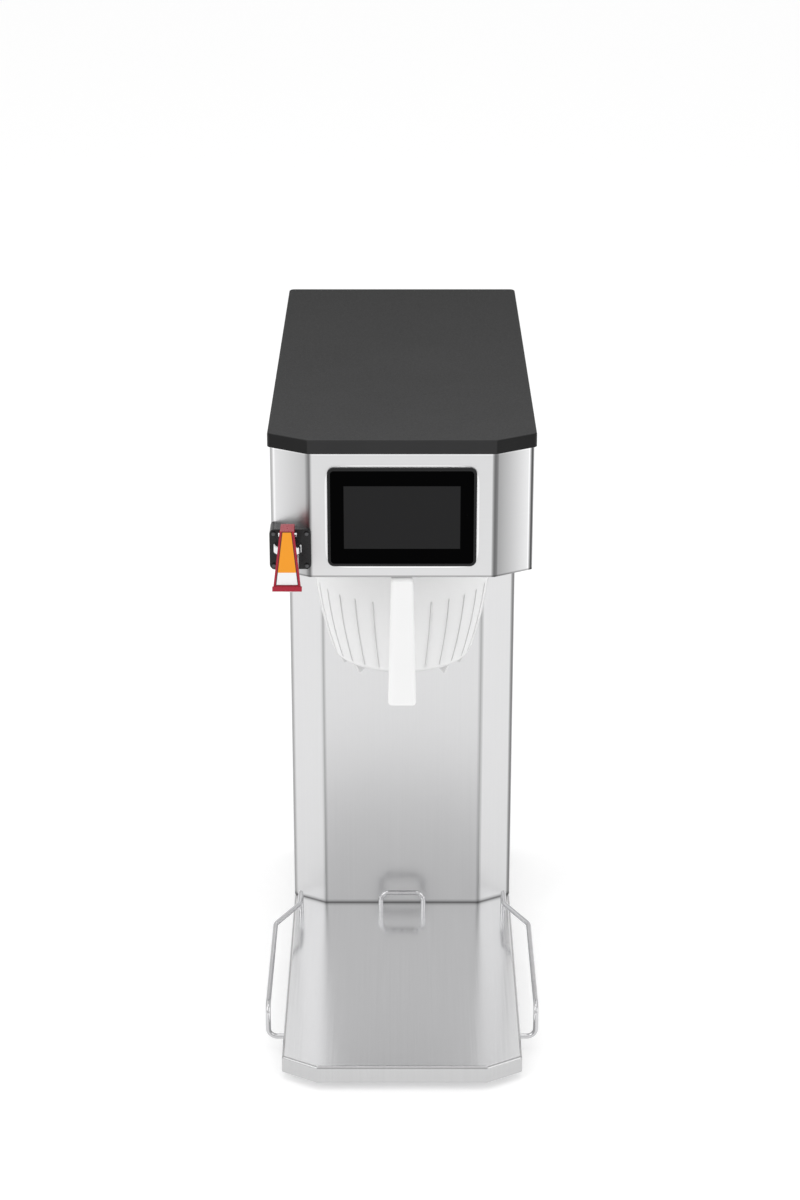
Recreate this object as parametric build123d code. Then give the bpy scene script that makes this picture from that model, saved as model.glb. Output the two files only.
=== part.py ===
from build123d import *
from math import cos, pi, radians, sin, tan
import os

# Automatic tea maker: a stainless body with an overhanging hood, a brew basket that slides in
# under the hood, a hot-water faucet on the left front corner and a flat base for the dispenser.
# Millimetres. +X is the user's right, +Y the back, +Z up, and the feet stand on Z = 0.

# ---- body ------------------------------------------------------------------------------------
body_width = 216.0
body_depth = 475.0            # hood front to the back of the side panels
corner_run = 32.0             # sideways run of the cut-back front corners
corner_angle = 30.0           # turn of the cut-back corners from the front, degrees
bend_radius = 3.0             # outside radius of the sheet's bends
sheet = 1.2                   # stainless sheet of the hood, column and back
lip = 10.0                    # inward flanges at the top and bottom of the wraps
back_lip = 14.0               # return flanges that the rear panel screws on to
foot_height = 8.0
base_height = 16.0
base_sheet = 1.5
column_height = 467.0         # base top to the underside of the hood
column_setback = 308.0        # hood front to column front
hood_height = 107.0
cover_height = 11.5
cover_overhang = 2.0
cover_wall = 3.0
cover_edge = 1.5              # rounding of the cover's top edge
cover_rib_depth = 6.0         # locating rib that drops inside the hood's top flange
rib_clearance = 0.4

# ---- feet and fasteners ----------------------------------------------------------------------
foot_radius = 11.0
foot_taper = 1.5              # the foot is this much narrower at the floor
foot_inset = 34.0             # foot centre from the sides and the back
foot_front_inset = 44.0       # front feet from the front edge
foot_stem = 4.0
foot_barb = 1.0               # barb around the stem, above the base's bottom sheet
foot_barb_height = 2.5
screw_radius = 2.0            # M4 shank
screw_hole = 2.1
screw_head = 3.8
screw_head_height = 2.2
screw_end = 3.0               # a screw's end past the sheets that it holds
bolt_inset = 22.0             # first body screw behind the column's cut-back corner
bolt_pitch = 50.0
bolts_a_side = 3
rear_screw_rows = 5
rear_screw_inset = 20.0       # first and last rear screws from the panel's ends

# ---- touch screen ----------------------------------------------------------------------------
bezel_width = 122.0
bezel_height = 85.0
bezel_corner = 5.5
bezel_rim = 2.4               # width of the raised rim around the glass
bezel_stand = 2.2             # how far the rim stands off the hood front
bezel_lap = 5.0               # how far the bezel laps over the edge of its cut-out
rim_rounding = 0.8
collar_depth = 6.0            # bezel's collar behind the hood front
collar_corner = 0.5
screen_rise = 52.5            # underside of the hood to the middle of the screen
glass_recess = 0.4            # glass face below the rim
glass_thick = 1.1
glass_clearance = 0.2
screen_width = 95.0
screen_height = 54.0
window_clearance = 1.0        # bezel's window around the screen
module_thick = 8.0
module_border = 6.0
module_corner = 1.0

# ---- brew basket -----------------------------------------------------------------------------
basket_setback = 150.0        # hood front to the middle of the basket
flange_width = 172.0
flange_length = 168.0
flange_corner = 26.0
flange_thick = 4.0
flange_drop = 5.0             # underside of the hood to the top of the flange
bowl_radius = 78.5            # outside, under the flange
shoulder_radius = 73.0        # outside, where the wall starts to curve in
shoulder_drop = 70.0          # under the flange
bowl_floor_radius = 60.0
bowl_floor_drop = 115.5       # underside of the flange to the rounded bottom edge
wall_bulge = 2.0
outlet_radius = 8.0
outlet_bore = 5.0
outlet_length = 1.5
floor_slope = 8.0             # degrees, from the bottom edge down to the outlet
bowl_wall = 2.5
bowl_edge_radius = 6.0
rib_count = 28                # fine upright ribs on the lower wall
rib_width = 1.4
rib_proud = 0.9
rib_top_drop = 48.0           # under the flange
fin_count = 9                 # standing fins under the bowl
fin_thick = 2.4
fin_inner_radius = 24.0
fin_outer_radius = 57.0
fin_drop = 9.0                # how far the fins stand below the rounded bottom edge
fin_toe_run = 3.0             # cut-back lower corner of a fin
fin_toe_rise = 5.0
fin_slope_drop = 8.0          # a fin's inner end is this much lower than its outer end
grip_top_width = 18.4
grip_bottom_width = 23.5
grip_depth = 16.0
grip_forward = 2.0            # grip face ahead of the hood front
grip_drop = 116.0             # underside of the hood to the bottom of the grip
grip_rounding = 3.5
grip_foot_rounding = 3.1
grip_top_rounding = 1.2
grip_top_gap = 4.0            # underside of the hood to the top of the grip
arm_width = 14.0
arm_height = 11.0
arm_lap = 5.0                 # arm under the front of the flange
insert_wire = 1.3             # radius of the wire filter insert's wires
insert_top_radius = 66.0
insert_bottom_radius = 46.0
insert_height = 80.0
insert_wires = 10
insert_gap = 0.05             # insert's lower ring above the bowl's floor

# ---- basket rails ----------------------------------------------------------------------------
rail_sheet = 1.2
rail_side_clearance = 1.0     # flange edge to the rail's web
rail_under_clearance = 0.3    # flange underside to the rail's lip
rail_lap = 6.0                # how far the rail's lip reaches under the flange
rail_top_lap = 11.0           # width of the rail's fixing flange
rail_setback = 30.0
rail_end_clearance = 1.0
rail_screw_inset = 22.0
rail_screw_head = 3.2

# ---- spray head, brew valve and dilution nozzle ----------------------------------------------
spray_radius = 38.0
spray_thick = 2.6
spray_gap = 0.6               # plate below the hood floor
spray_hub = 12.0
spray_neck = 6.0
spray_neck_wall = 2.0
spray_neck_length = 8.0
spray_hole = 1.2
inner_ring = 12.0             # rings of spray holes
inner_ring_holes = 6
outer_ring = 26.0
outer_ring_holes = 12
elbow_radius = 9.0
elbow_height = 20.0
elbow_barb_drop = 7.0         # barb's axis below the top of the elbow
hose_radius = 5.0
hose_bend = 18.0
hose_gap = 1.0                # brew hose's end clear of the elbow
barb_radius = 3.5
barb_length = 12.0
brew_valve_gap = 30.0         # brew valve's body ahead of the column's front
valve_size = 32.0
valve_cap = 9.0               # valve body above its ports
supply_pipe = 5.5
coil_radius = 12.0
coil_height = 30.0
coil_frame_width = 30.0
coil_frame_depth = 26.0
coil_frame_gap = 5.0          # steel frame round the coil, above the valve body
coil_frame_height = 22.0
nozzle_gap = 25.0             # nozzle's flange ahead of the column's front
nozzle_offset = 40.0
nozzle_radius = 6.0
nozzle_bore = 2.0
nozzle_flange = 11.0
nozzle_flange_thick = 2.5
nozzle_reach = 8.0            # below the hood floor
dilution_rise = 34.0          # dilution hose's upper run above the hood floor
dilution_sweep = 34.0         # its slanting run's length front to back
dilution_end_bend = 14.0

# ---- hot-water faucet ------------------------------------------------------------------------
faucet_offset = 93.0          # middle of the body to the faucet's axis
faucet_out = 14.0             # faucet axis ahead of the hood front
shank_rise = 19.0             # shank axis above the bottom of the hood
bonnet_rise = 34.4            # top of the bonnet above the bottom of the hood
mount_width = 34.0
mount_height = 34.6
mount_base = 8.0              # bottom of the wedge above the bottom of the hood
mount_plate = 2.5             # wedge's front plate, ahead of the hood front
mount_corner = 4.0
mount_lap = 1.5               # wedge over the hood's front corner
mount_screw = 1.25
mount_screw_length = 6.0
mount_screw_inset = 3.4
mount_screw_head = 1.5
boss_radius = 11.0
boss_length = 19.0            # to the nut's seat, from the hood front
barrel_radius = 9.0
barrel_height = 22.0
barrel_wall = 2.5
barrel_rounding = 2.5
spout_radius = 6.0
spout_bore = 4.0
spout_reach = 11.0            # spout below the barrel
shank_radius = 7.0
shank_bore = 4.0
shank_collar = 1.2            # collar against the wedge's front, proud of the shank
shank_end = 27.0              # from the hood front
bonnet_radius = 11.5
bonnet_height = 7.0
bonnet_chamfer = 0.8
stem_radius = 2.5
stem_clearance = 0.05
cup_radius = 5.6
cup_height = 4.5
cup_gap = 0.3
pin_rise = 7.8                # lever pin above the bonnet
pin_radius = 1.5
pin_length = 15.0
pin_clearance = 0.05
cam_radius = 7.5
cam_offset = 4.0              # cam centre behind the pin
head_width = 11.0
fork_width = 5.8
fork_clearance = 3.8
blade_gap = 0.6
blade_thick = 5.0
blade_lean = 16.0
blade_length = 47.0
blade_foot_width = 23.0
foot_ridge = 3.6
ridge_proud = 1.5
ridge_overhang = 0.4          # ridge past each side of the blade
inlay_border = 1.7
inlay_foot_gap = 1.0          # inlay above the ridge
inlay_thick = 0.8
inlay_sunk = 0.2
spring_wire = 0.5
spring_radius = 4.0
spring_turns = 4
nut_flats = 20.0
nut_thick = 6.0
hose_front_run = 200.0        # hood front to the faucet hose's first bend
hose_rear_run = 270.0         # hood front to its second bend
hose_front_bend = 60.0
hose_rear_bend = 40.0

# ---- tank and heater -------------------------------------------------------------------------
tank_width = 160.0
tank_depth = 130.0
tank_height = 315.0
tank_wall = 1.0
tank_corner = 14.0
tank_front_gap = 16.0         # column front to tank front
tank_rim = 7.0
gasket_thick = 2.0
lid_thick = 1.5
lid_below_top = 46.0          # lid under the top of the hood
lid_screw = 1.5
lid_screw_hole = 1.6
lid_screw_head = 3.0
shelf_sheet = 1.5
shelf_flange = 12.0
shelf_back_gap = 6.0
port_radius = 7.0
port_length = 14.0
fill_x = -50.0                # where the fill hose enters the tank's floor
dilution_x = 92.0             # where the dilution hose rises beside the tank
faucet_port_x = -58.0
faucet_port_drop = 40.0       # tank's faucet port below the lid
heater_radius = 4.0
heater_half_width = 26.0
heater_floor_gap = 26.0
heater_terminal = 12.0
probe_radius = 3.0
probe_length = 120.0
probe_offset = 52.0
level_length = 45.0
sensor_head_radius = 6.5
sensor_head_height = 9.0
limit_radius = 9.0
limit_height = 10.0
limit_ear_length = 32.0
limit_ear_width = 8.0
limit_ear_thick = 1.5
limit_tab_width = 6.0
limit_tab_thick = 0.8
limit_tab_height = 8.0
limit_tab_spacing = 8.0

# ---- back of the machine ---------------------------------------------------------------------
inlet_x = 20.0
inlet_rise = 94.0             # above the base top
inlet_thread = 5.56           # 1/4 inch flare, 7/16 thread
inlet_thread_length = 14.0
inlet_hex = 19.0
inlet_hex_thick = 5.0
inlet_shank = 8.0
inlet_shank_length = 16.0
inlet_bore = 3.0
manifold_width = 40.0
manifold_height = 28.0
manifold_depth = 44.0
coil_gap = 1.0                # between the two coils and the block's edge
barb_setback = 35.0           # hose barbs ahead of the rear panel
gland_x = -60.0
gland_rise = 44.0
gland_radius = 8.0
gland_bore = 5.0
gland_flange = 13.0
gland_flange_thick = 4.0
gland_length = 20.0
switch_x = 62.0
switch_rise = 44.0
switch_width = 22.0
switch_height = 30.0
switch_depth = 24.0
switch_frame = 3.0
switch_stand = 2.0
rocker_radius = 9.0
rocker_width = 14.0
rocker_tilt = 10.0
rocker_valley = 2.5           # bottom of the rocker's V face ahead of its axle
rocker_clearance = 0.5
relay_width = 45.0
relay_height = 60.0
relay_depth = 22.0
relay_block = 12.0            # depth of the relay itself, ahead of its heat sink
sink_plate = 3.0
sink_fin = 2.0
sink_fins = 7
terminal_width = 50.0
terminal_height = 20.0
terminal_depth = 16.0
terminal_poles = 4
terminal_hole = 3.0
terminal_hole_depth = 6.0
vent_rows = 9
vent_pitch = 12.0
vent_length = 60.0
vent_slot = 3.0
vent_rise = 420.0

# ---- control board ---------------------------------------------------------------------------
board_width = 100.0
board_length = 70.0
board_thick = 1.6
board_x = 36.0
board_setback = 72.0
standoff_radius = 3.0
standoff_height = 12.0
standoff_inset = 5.0
board_relay = 16.0            # relays in a row along the board's right side
board_relay_height = 15.0
board_relay_pitch = 20.0
board_relay_inset = 10.0
chip_size = 22.0
chip_height = 3.0
header_width = 8.0            # connector strip along the board's left side
header_length = 52.0
header_height = 9.0
header_inset = 6.0
capacitor_radius = 5.0
capacitor_height = 14.0
capacitor_pitch = 14.0
capacitor_inset = 11.0

# ---- wires on the base -----------------------------------------------------------------------
wire_radius = 2.38            # 3/16 inch wire
wire_hole = 2.5
stop_half_width = 20.9
stop_rise = 21.2              # wire centre above the base top
stop_corner = 8.0
stop_setback = 289.0
guide_x = 100.0
guide_reach = 122.0
guide_rise = 23.6
guide_bend_setback = 261.0
guide_flare_setback = 220.0
guide_front_setback = 66.0
guide_end_rise = 8.0          # above the bottom of the base's skirt
guide_end_inset = 4.0
guide_post_bend = 7.0
guide_side_bend = 14.0
guide_drop_bend = 10.0

# ---- heights and depths that follow from the sizes above --------------------------------------
corner_depth = corner_run * tan(radians(corner_angle))
base_top = foot_height + base_height
hood_bottom = base_top + column_height
hood_top = hood_bottom + hood_height
floor_under = hood_bottom + sheet
floor_top = floor_under + sheet
lean = radians(blade_lean)
bonnet_top = hood_bottom + bonnet_rise
bonnet_under = bonnet_top - bonnet_height
pin_z = bonnet_top + pin_rise
blade_above = (pin_rise + cam_radius) / cos(lean)
blade_below = blade_length - blade_above
lever_reach = (faucet_out + bonnet_radius + blade_gap + blade_below * sin(lean)
               + (blade_thick + ridge_proud) * cos(lean))
rear_reach = sheet + inlet_hex_thick + inlet_thread_length
front = lever_reach - (lever_reach + body_depth + rear_reach) / 2
column_front = front + column_setback
back = front + body_depth
basket_y = front + basket_setback
flange_top = hood_bottom - flange_drop
flange_under = flange_top - flange_thick
faucet_y = front - faucet_out
shank_z = hood_bottom + shank_rise
half_width = body_width / 2
screen_z = hood_bottom + screen_rise
collar = front + collar_depth
spray_top = floor_under - spray_gap
brew_port_z = floor_top + elbow_height - elbow_barb_drop
brew_valve_y = column_front - brew_valve_gap - valve_size / 2
nozzle_y = column_front - nozzle_gap - nozzle_flange
guide_foot_x = half_width - guide_end_inset


# ---- shapes used by several pieces -----------------------------------------------------------
def block(x0, x1, y0, y1, z0, z1):
    """A box given by its limits."""
    return Pos((x0 + x1) / 2, (y0 + y1) / 2, (z0 + z1) / 2) * Box(x1 - x0, y1 - y0, z1 - z0)


def rod(start, direction, radius, length):
    """A round bar that starts at a point and runs along a direction."""
    bar = Cylinder(radius, length, align=(Align.CENTER, Align.CENTER, Align.MIN))
    return Plane(origin=start, z_dir=direction) * bar


def hexagon(start, direction, flats, length):
    """A hexagonal bar, given by its size across the flats."""
    outline = Plane(origin=start, z_dir=direction) * RegularPolygon(flats / 2, 6, major_radius=False)
    return extrude(outline, length)


def body_outline(front_y, inset=0.0):
    """The body from above: a rectangle with cut-back front corners and rounded bends."""
    side_y = front_y + corner_depth
    corners = [(-half_width + corner_run, front_y), (half_width - corner_run, front_y),
               (half_width, side_y), (half_width, back), (-half_width, back), (-half_width, side_y)]
    face = make_face(Polyline(*corners, close=True))
    face = fillet(face.vertices(), bend_radius)
    if inset:
        face = offset(face, -inset)
    return face


def raised(face, z0, z1):
    """A plan outline made solid between two heights."""
    return extrude(Pos(0, 0, z0) * face, z1 - z0)


def wrap(front_y, z0, z1):
    """A bent sheet round the front, corners and sides, with lips and an open back."""
    inside = body_outline(front_y, sheet)
    opening = body_outline(front_y, lip)
    shell = raised(body_outline(front_y), z0, z1) - raised(inside, z0 + sheet, z1 - sheet)
    shell -= raised(opening, z0, z1)
    half_opening = half_width - back_lip
    return shell - block(-half_opening, half_opening, back - lip - sheet, back + sheet, z0, z1)


def tube(points, radius, bends):
    """A round wire or hose along straight runs joined by arcs."""
    path = FilletPolyline(*points, radius=bends)
    return sweep(Plane(origin=path @ 0, z_dir=path % 0) * Circle(radius), path=path)


def screw(head_seat, direction, length, radius=screw_radius, head=screw_head):
    """A pan-head screw: the head stands off its seat and the shank runs along the direction."""
    out = Vector(direction) * -1
    shank = rod(head_seat, direction, radius, length)
    return shank + rod(head_seat, out, head, screw_head_height)


def both_sides(piece):
    """A piece and its mirror image, left and right."""
    return [piece, mirror(piece, about=Plane.YZ)]


# ---- base ------------------------------------------------------------------------------------
wire_posts = [(x, front + stop_setback) for x in (-guide_x, -stop_half_width, stop_half_width, guide_x)]
guide_end_z = foot_height + guide_end_rise
guide_end_y = front + guide_front_setback
body_bolts = [(half_width - lip / 2 - sheet, column_front + corner_depth + bolt_inset + step * bolt_pitch)
              for step in range(bolts_a_side)]
foot_spots = [(side * (half_width - foot_inset), y) for side in (-1, 1)
              for y in (front + foot_front_inset, back - foot_inset)]


def base_plate():
    tray = raised(body_outline(front), foot_height, base_top)
    tray = fillet(tray.faces().sort_by(Axis.Z)[-1].edges(), bend_radius)
    hollow = raised(body_outline(front, base_sheet), foot_height, base_top - base_sheet)
    hollow = fillet(hollow.faces().sort_by(Axis.Z)[-1].edges(), bend_radius - base_sheet)
    tray -= hollow
    for x, y in wire_posts:
        tray -= rod((x, y, base_top - base_sheet), (0, 0, 1), wire_hole, base_sheet)
    tray -= rod((-half_width, guide_end_y, guide_end_z), (1, 0, 0), wire_hole, body_width)
    for x, y in body_bolts:
        for side in (-1, 1):
            tray -= rod((side * x, y, foot_height), (0, 0, 1), screw_hole, base_height)
    return tray


def base_bottom():
    outer = body_outline(front, base_sheet)
    pan_top = foot_height + base_height / 2 - wire_hole - base_sheet
    pan = raised(outer, foot_height, pan_top)
    pan -= raised(body_outline(front, 2 * base_sheet), foot_height + base_sheet, pan_top)
    for x, y in foot_spots:
        pan -= rod((x, y, foot_height), (0, 0, 1), foot_stem, base_sheet)
    return pan


def rubber_feet():
    feet = []
    sheet_top = foot_height + base_sheet
    barb_top = sheet_top + foot_barb_height
    profile = Polyline((0, 0), (foot_radius - foot_taper, 0), (foot_radius, foot_height),
                       (foot_stem, foot_height), (foot_stem, sheet_top),
                       (foot_stem + foot_barb, sheet_top), (foot_stem - foot_barb, barb_top),
                       (0, barb_top), close=True)
    foot = revolve(Plane.XZ * make_face(profile), Axis.Z)
    for x, y in foot_spots:
        feet.append(Pos(x, y, 0) * foot)
    return feet


def rear_stop_wire():
    y = front + stop_setback
    low = base_top - base_sheet
    high = base_top + stop_rise
    x = stop_half_width
    return tube([(-x, y, low), (-x, y, high), (x, y, high), (x, y, low)], wire_radius, stop_corner)


def guide_wire():
    """The right-hand guide wire; the left one mirrors it."""
    high = base_top + guide_rise
    points = [(guide_x, front + stop_setback, base_top - base_sheet),
              (guide_x, front + stop_setback, high),
              (guide_x, front + guide_bend_setback, high),
              (guide_reach, front + guide_flare_setback, high),
              (guide_reach, guide_end_y, high),
              (guide_reach, guide_end_y, guide_end_z),
              (guide_foot_x, guide_end_y, guide_end_z)]
    foot_bend = (guide_reach - guide_foot_x) * 0.45
    bends = [guide_post_bend, guide_side_bend, guide_side_bend, guide_drop_bend, foot_bend]
    return tube(points, wire_radius, bends)


# ---- column, hood and cover ------------------------------------------------------------------
def bolt_holes(z0, z1):
    holes = []
    for x, y in body_bolts:
        for side in (-1, 1):
            holes.append(rod((side * x, y, z0), (0, 0, 1), screw_hole, z1 - z0))
    return holes


def rear_screw_spots():
    x = half_width - back_lip / 2
    low = base_top + rear_screw_inset
    pitch = (hood_top - rear_screw_inset - low) / (rear_screw_rows - 1)
    return [(side * x, low + pitch * row) for side in (-1, 1) for row in range(rear_screw_rows)]


def rear_screw_holes():
    return [rod((x, back - 2 * sheet, z), (0, 1, 0), screw_hole, 4 * sheet)
            for x, z in rear_screw_spots()]


def column_wrap():
    column = wrap(column_front, base_top, hood_bottom)
    column -= bolt_holes(base_top, hood_bottom)
    return column - rear_screw_holes()


def hood_wrap():
    hood = wrap(front, hood_bottom, hood_top)
    cut_width = bezel_width - 2 * bezel_lap
    cut_height = bezel_height - 2 * bezel_lap
    hood -= block(-cut_width / 2, cut_width / 2, front - sheet, front + 2 * sheet,
                  screen_z - cut_height / 2, screen_z + cut_height / 2)
    hood -= rod((-faucet_offset, front - mount_plate, shank_z), (0, 1, 0), boss_radius,
                mount_plate + boss_length)
    hood -= bolt_holes(hood_bottom, hood_bottom + sheet)
    hood -= mount_screw_holes()
    return hood - rear_screw_holes()


def hood_floor():
    """The underside of the hood, resting on the wrap's bottom lip."""
    floor = raised(body_outline(front, sheet), floor_under, floor_top)
    rear_edge = column_front + lip
    floor -= block(-body_width, body_width, rear_edge, back + lip, floor_under, floor_top)
    floor -= rod((0, basket_y, floor_under), (0, 0, 1), spray_neck, sheet)
    floor -= rod((nozzle_offset, nozzle_y, floor_under), (0, 0, 1), nozzle_radius, sheet)
    for x, y in rail_screw_spots():
        floor -= rod((x, y, floor_under), (0, 0, 1), screw_hole, sheet)
    return floor


def body_screws():
    """Six screws hold the column to the base, and six hold the hood to the column."""
    screws = []
    for x, y in body_bolts:
        for side in (-1, 1):
            at_base = (side * x, y, base_top + sheet)
            at_hood = (side * x, y, hood_bottom + sheet)
            screws.append(screw(at_base, (0, 0, -1), sheet + base_sheet + screw_end))
            screws.append(screw(at_hood, (0, 0, -1), 2 * sheet + screw_end))
    return screws


def rear_panel():
    panel = block(-half_width, half_width, back, back + sheet, base_top, hood_top)
    panel = fillet(panel.edges().filter_by(Axis.Y), bend_radius)
    panel -= rear_screw_holes()
    panel -= rod((inlet_x, back, base_top + inlet_rise), (0, 1, 0), inlet_shank, sheet)
    panel -= rod((gland_x, back, base_top + gland_rise), (0, 1, 0), gland_radius, sheet)
    z = base_top + switch_rise
    panel -= block(switch_x - switch_width / 2, switch_x + switch_width / 2, back, back + sheet,
                   z - switch_height / 2, z + switch_height / 2)
    slot = Plane.XZ * SlotOverall(vent_length, vent_slot)
    for row in range(vent_rows):
        cut = extrude(slot, 4 * sheet, both=True)
        panel -= Pos(0, back, base_top + vent_rise + row * vent_pitch) * cut
    return panel


def rear_screws():
    length = 2 * sheet + screw_end
    return [screw((x, back + sheet, z), (0, -1, 0), length) for x, z in rear_screw_spots()]


def top_cover():
    top = hood_top + cover_height
    cover = raised(body_outline(front, -cover_overhang), hood_top, top)
    cover = fillet(cover.faces().sort_by(Axis.Z)[-1].edges(), cover_edge)
    cover -= raised(body_outline(front, cover_wall - cover_overhang), hood_top, top - cover_wall)
    rib_outer = body_outline(front, lip + rib_clearance)
    rib_inner = body_outline(front, lip + rib_clearance + cover_wall)
    low = hood_top - cover_rib_depth
    cover += raised(rib_outer, low, top - cover_wall) - raised(rib_inner, low, top - cover_wall)
    return cover


# ---- touch screen ----------------------------------------------------------------------------
def screen_slab(width, height, corner, y0, y1):
    face = Plane.XZ * RectangleRounded(width, height, corner)
    return Pos(0, y1, screen_z) * extrude(face, y1 - y0)


def display_bezel():
    rim_front = front - bezel_stand
    inner_corner = bezel_corner - bezel_rim
    bezel = screen_slab(bezel_width, bezel_height, bezel_corner, rim_front, front)
    bezel = fillet(bezel.faces().sort_by(Axis.Y)[0].edges(), rim_rounding)
    bezel += screen_slab(bezel_width - 2 * bezel_lap, bezel_height - 2 * bezel_lap, collar_corner,
                         front, collar)
    pocket_back = rim_front + glass_recess + glass_thick
    bezel -= screen_slab(bezel_width - 2 * bezel_rim, bezel_height - 2 * bezel_rim, inner_corner,
                         rim_front, pocket_back)
    bezel -= screen_slab(screen_width + 2 * window_clearance, screen_height + 2 * window_clearance,
                         window_clearance, pocket_back, collar)
    return bezel


def display_glass():
    face_y = front - bezel_stand + glass_recess
    trim = 2 * (bezel_rim + glass_clearance)
    corner = bezel_corner - bezel_rim - glass_clearance
    return screen_slab(bezel_width - trim, bezel_height - trim, corner, face_y, face_y + glass_thick)


def display_module():
    module = screen_slab(screen_width + 2 * module_border, screen_height + 2 * module_border,
                         module_corner, collar, collar + module_thick)
    face_y = front - bezel_stand + glass_recess + glass_thick
    module += screen_slab(screen_width, screen_height, module_corner, face_y, collar)
    for x, z in display_screw_spots():
        module -= rod((x, collar, z), (0, 1, 0), screw_hole, module_thick)
    return module


def display_screw_spots():
    x = (screen_width + module_border) / 2
    z = (screen_height + module_border) / 2
    return [(sx * x, screen_z + sz * z) for sx in (-1, 1) for sz in (-1, 1)]


def display_screws():
    seat = collar + module_thick
    return [screw((x, seat, z), (0, -1, 0), module_thick) for x, z in display_screw_spots()]


def control_board():
    """The board with a row of relays, a processor, a connector strip and three capacitors."""
    z = floor_top + standoff_height
    y = front + board_setback
    half = board_width / 2
    board = block(board_x - half, board_x + half, y - board_length / 2, y + board_length / 2,
                  z, z + board_thick)
    top = z + board_thick
    relay_x = board_x + half - board_relay_inset - board_relay
    capacitor_y = y + board_length / 2 - capacitor_inset
    for row in (-1, 0, 1):
        relay_y = y + row * board_relay_pitch - board_relay / 2
        board += block(relay_x, relay_x + board_relay, relay_y, relay_y + board_relay,
                       top, top + board_relay_height)
        spot = (board_x - board_relay_inset + row * capacitor_pitch, capacitor_y, top)
        board += rod(spot, (0, 0, 1), capacitor_radius, capacitor_height)
    chip_x = board_x - board_relay_inset
    board += block(chip_x - chip_size / 2, chip_x + chip_size / 2, y - chip_size / 2, y + chip_size / 2,
                   top, top + chip_height)
    header_x = board_x - half + header_inset
    board += block(header_x, header_x + header_width, y - header_length / 2, y + header_length / 2,
                   top, top + header_height)
    return board


def board_standoffs():
    x = board_width / 2 - standoff_inset
    y = board_length / 2 - standoff_inset
    spots = [(board_x + sx * x, front + board_setback + sy * y, floor_top) for sx in (-1, 1)
             for sy in (-1, 1)]
    return [rod(spot, (0, 0, 1), standoff_radius, standoff_height) for spot in spots]


# ---- basket rails, spray head and valves -----------------------------------------------------
rail_web = flange_width / 2 + rail_side_clearance
rail_end = basket_y + flange_length / 2 + rail_end_clearance


def rail_screw_spots():
    x = rail_web + rail_sheet - rail_top_lap / 2
    return [(side * x, y) for side in (-1, 1)
            for y in (front + rail_setback + rail_screw_inset, rail_end - rail_screw_inset)]


def basket_rails():
    """Folded rails under the hood: web, bottom lip, fixing flange and a stop at the back."""
    lip_top = flange_under - rail_under_clearance
    lip_under = lip_top - rail_sheet
    outer = rail_web + rail_sheet
    start = front + rail_setback
    end = rail_end + rail_sheet
    rail = block(rail_web, outer, start, end, lip_under, floor_under)
    rail += block(flange_width / 2 - rail_lap, outer, start, end, lip_under, lip_top)
    rail += block(outer - rail_top_lap, outer, start, end, floor_under - rail_sheet, floor_under)
    rail += block(flange_width / 2 - rail_lap, outer, rail_end, end, lip_under, floor_under)
    for x, y in rail_screw_spots():
        rail -= rod((x, y, floor_under - rail_sheet), (0, 0, 1), screw_hole, rail_sheet)
    return both_sides(rail)


def rail_screws():
    seat = floor_under - rail_sheet
    length = rail_sheet + sheet + screw_end
    return [screw((x, y, seat), (0, 0, 1), length, head=rail_screw_head) for x, y in rail_screw_spots()]


def spray_head():
    """A perforated plate on a hub, with a neck that passes up through the hood floor."""
    low = spray_top - spray_thick
    head = rod((0, basket_y, low), (0, 0, 1), spray_radius, spray_thick)
    head += rod((0, basket_y, spray_top), (0, 0, 1), spray_hub, spray_gap)
    head += rod((0, basket_y, spray_top), (0, 0, 1), spray_neck, spray_neck_length)
    head -= rod((0, basket_y, spray_top), (0, 0, 1), spray_neck - spray_neck_wall, spray_neck_length)
    for ring, count in ((0, 1), (inner_ring, inner_ring_holes), (outer_ring, outer_ring_holes)):
        for step in range(count):
            turn = 2 * pi * step / count
            spot = (ring * cos(turn), basket_y + ring * sin(turn), low)
            head -= rod(spot, (0, 0, 1), spray_hole, spray_thick)
    return head


def spray_elbow():
    elbow = rod((0, basket_y, floor_top), (0, 0, 1), elbow_radius, elbow_height)
    elbow += rod((0, basket_y, brew_port_z), (0, 1, 0), barb_radius, elbow_radius + barb_length)
    neck_length = spray_top + spray_neck_length - floor_top
    return elbow - rod((0, basket_y, floor_top), (0, 0, 1), spray_neck, neck_length)


def brew_valve():
    """Solenoid valve on the hood floor, with a barb to the spray head and a pipe to the tank."""
    half = valve_size / 2
    cap = brew_port_z + valve_cap
    body = block(-half, half, brew_valve_y - half, brew_valve_y + half, floor_top, cap)
    body += rod((0, brew_valve_y, cap), (0, 0, 1), coil_radius, coil_height)
    frame_low = cap + coil_frame_gap
    body += block(-coil_frame_width / 2, coil_frame_width / 2, brew_valve_y - coil_frame_depth / 2,
                  brew_valve_y + coil_frame_depth / 2, frame_low, frame_low + coil_frame_height)
    body += rod((0, brew_valve_y - half, brew_port_z), (0, -1, 0), barb_radius, barb_length)
    reach = tank_front - (brew_valve_y + half)
    body += rod((0, brew_valve_y + half, brew_port_z), (0, 1, 0), supply_pipe, reach)
    return body


def hose(points, bends):
    """A silicone hose over the barbs at its two ends."""
    outer = tube(points, hose_radius, bends)
    return outer - tube(points, barb_radius, bends)


def brew_hose():
    start = (0, basket_y + elbow_radius + hose_gap, brew_port_z)
    length = brew_valve_y - valve_size / 2 - start[1]
    return rod(start, (0, 1, 0), hose_radius, length) - rod(start, (0, 1, 0), barb_radius, length)


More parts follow.
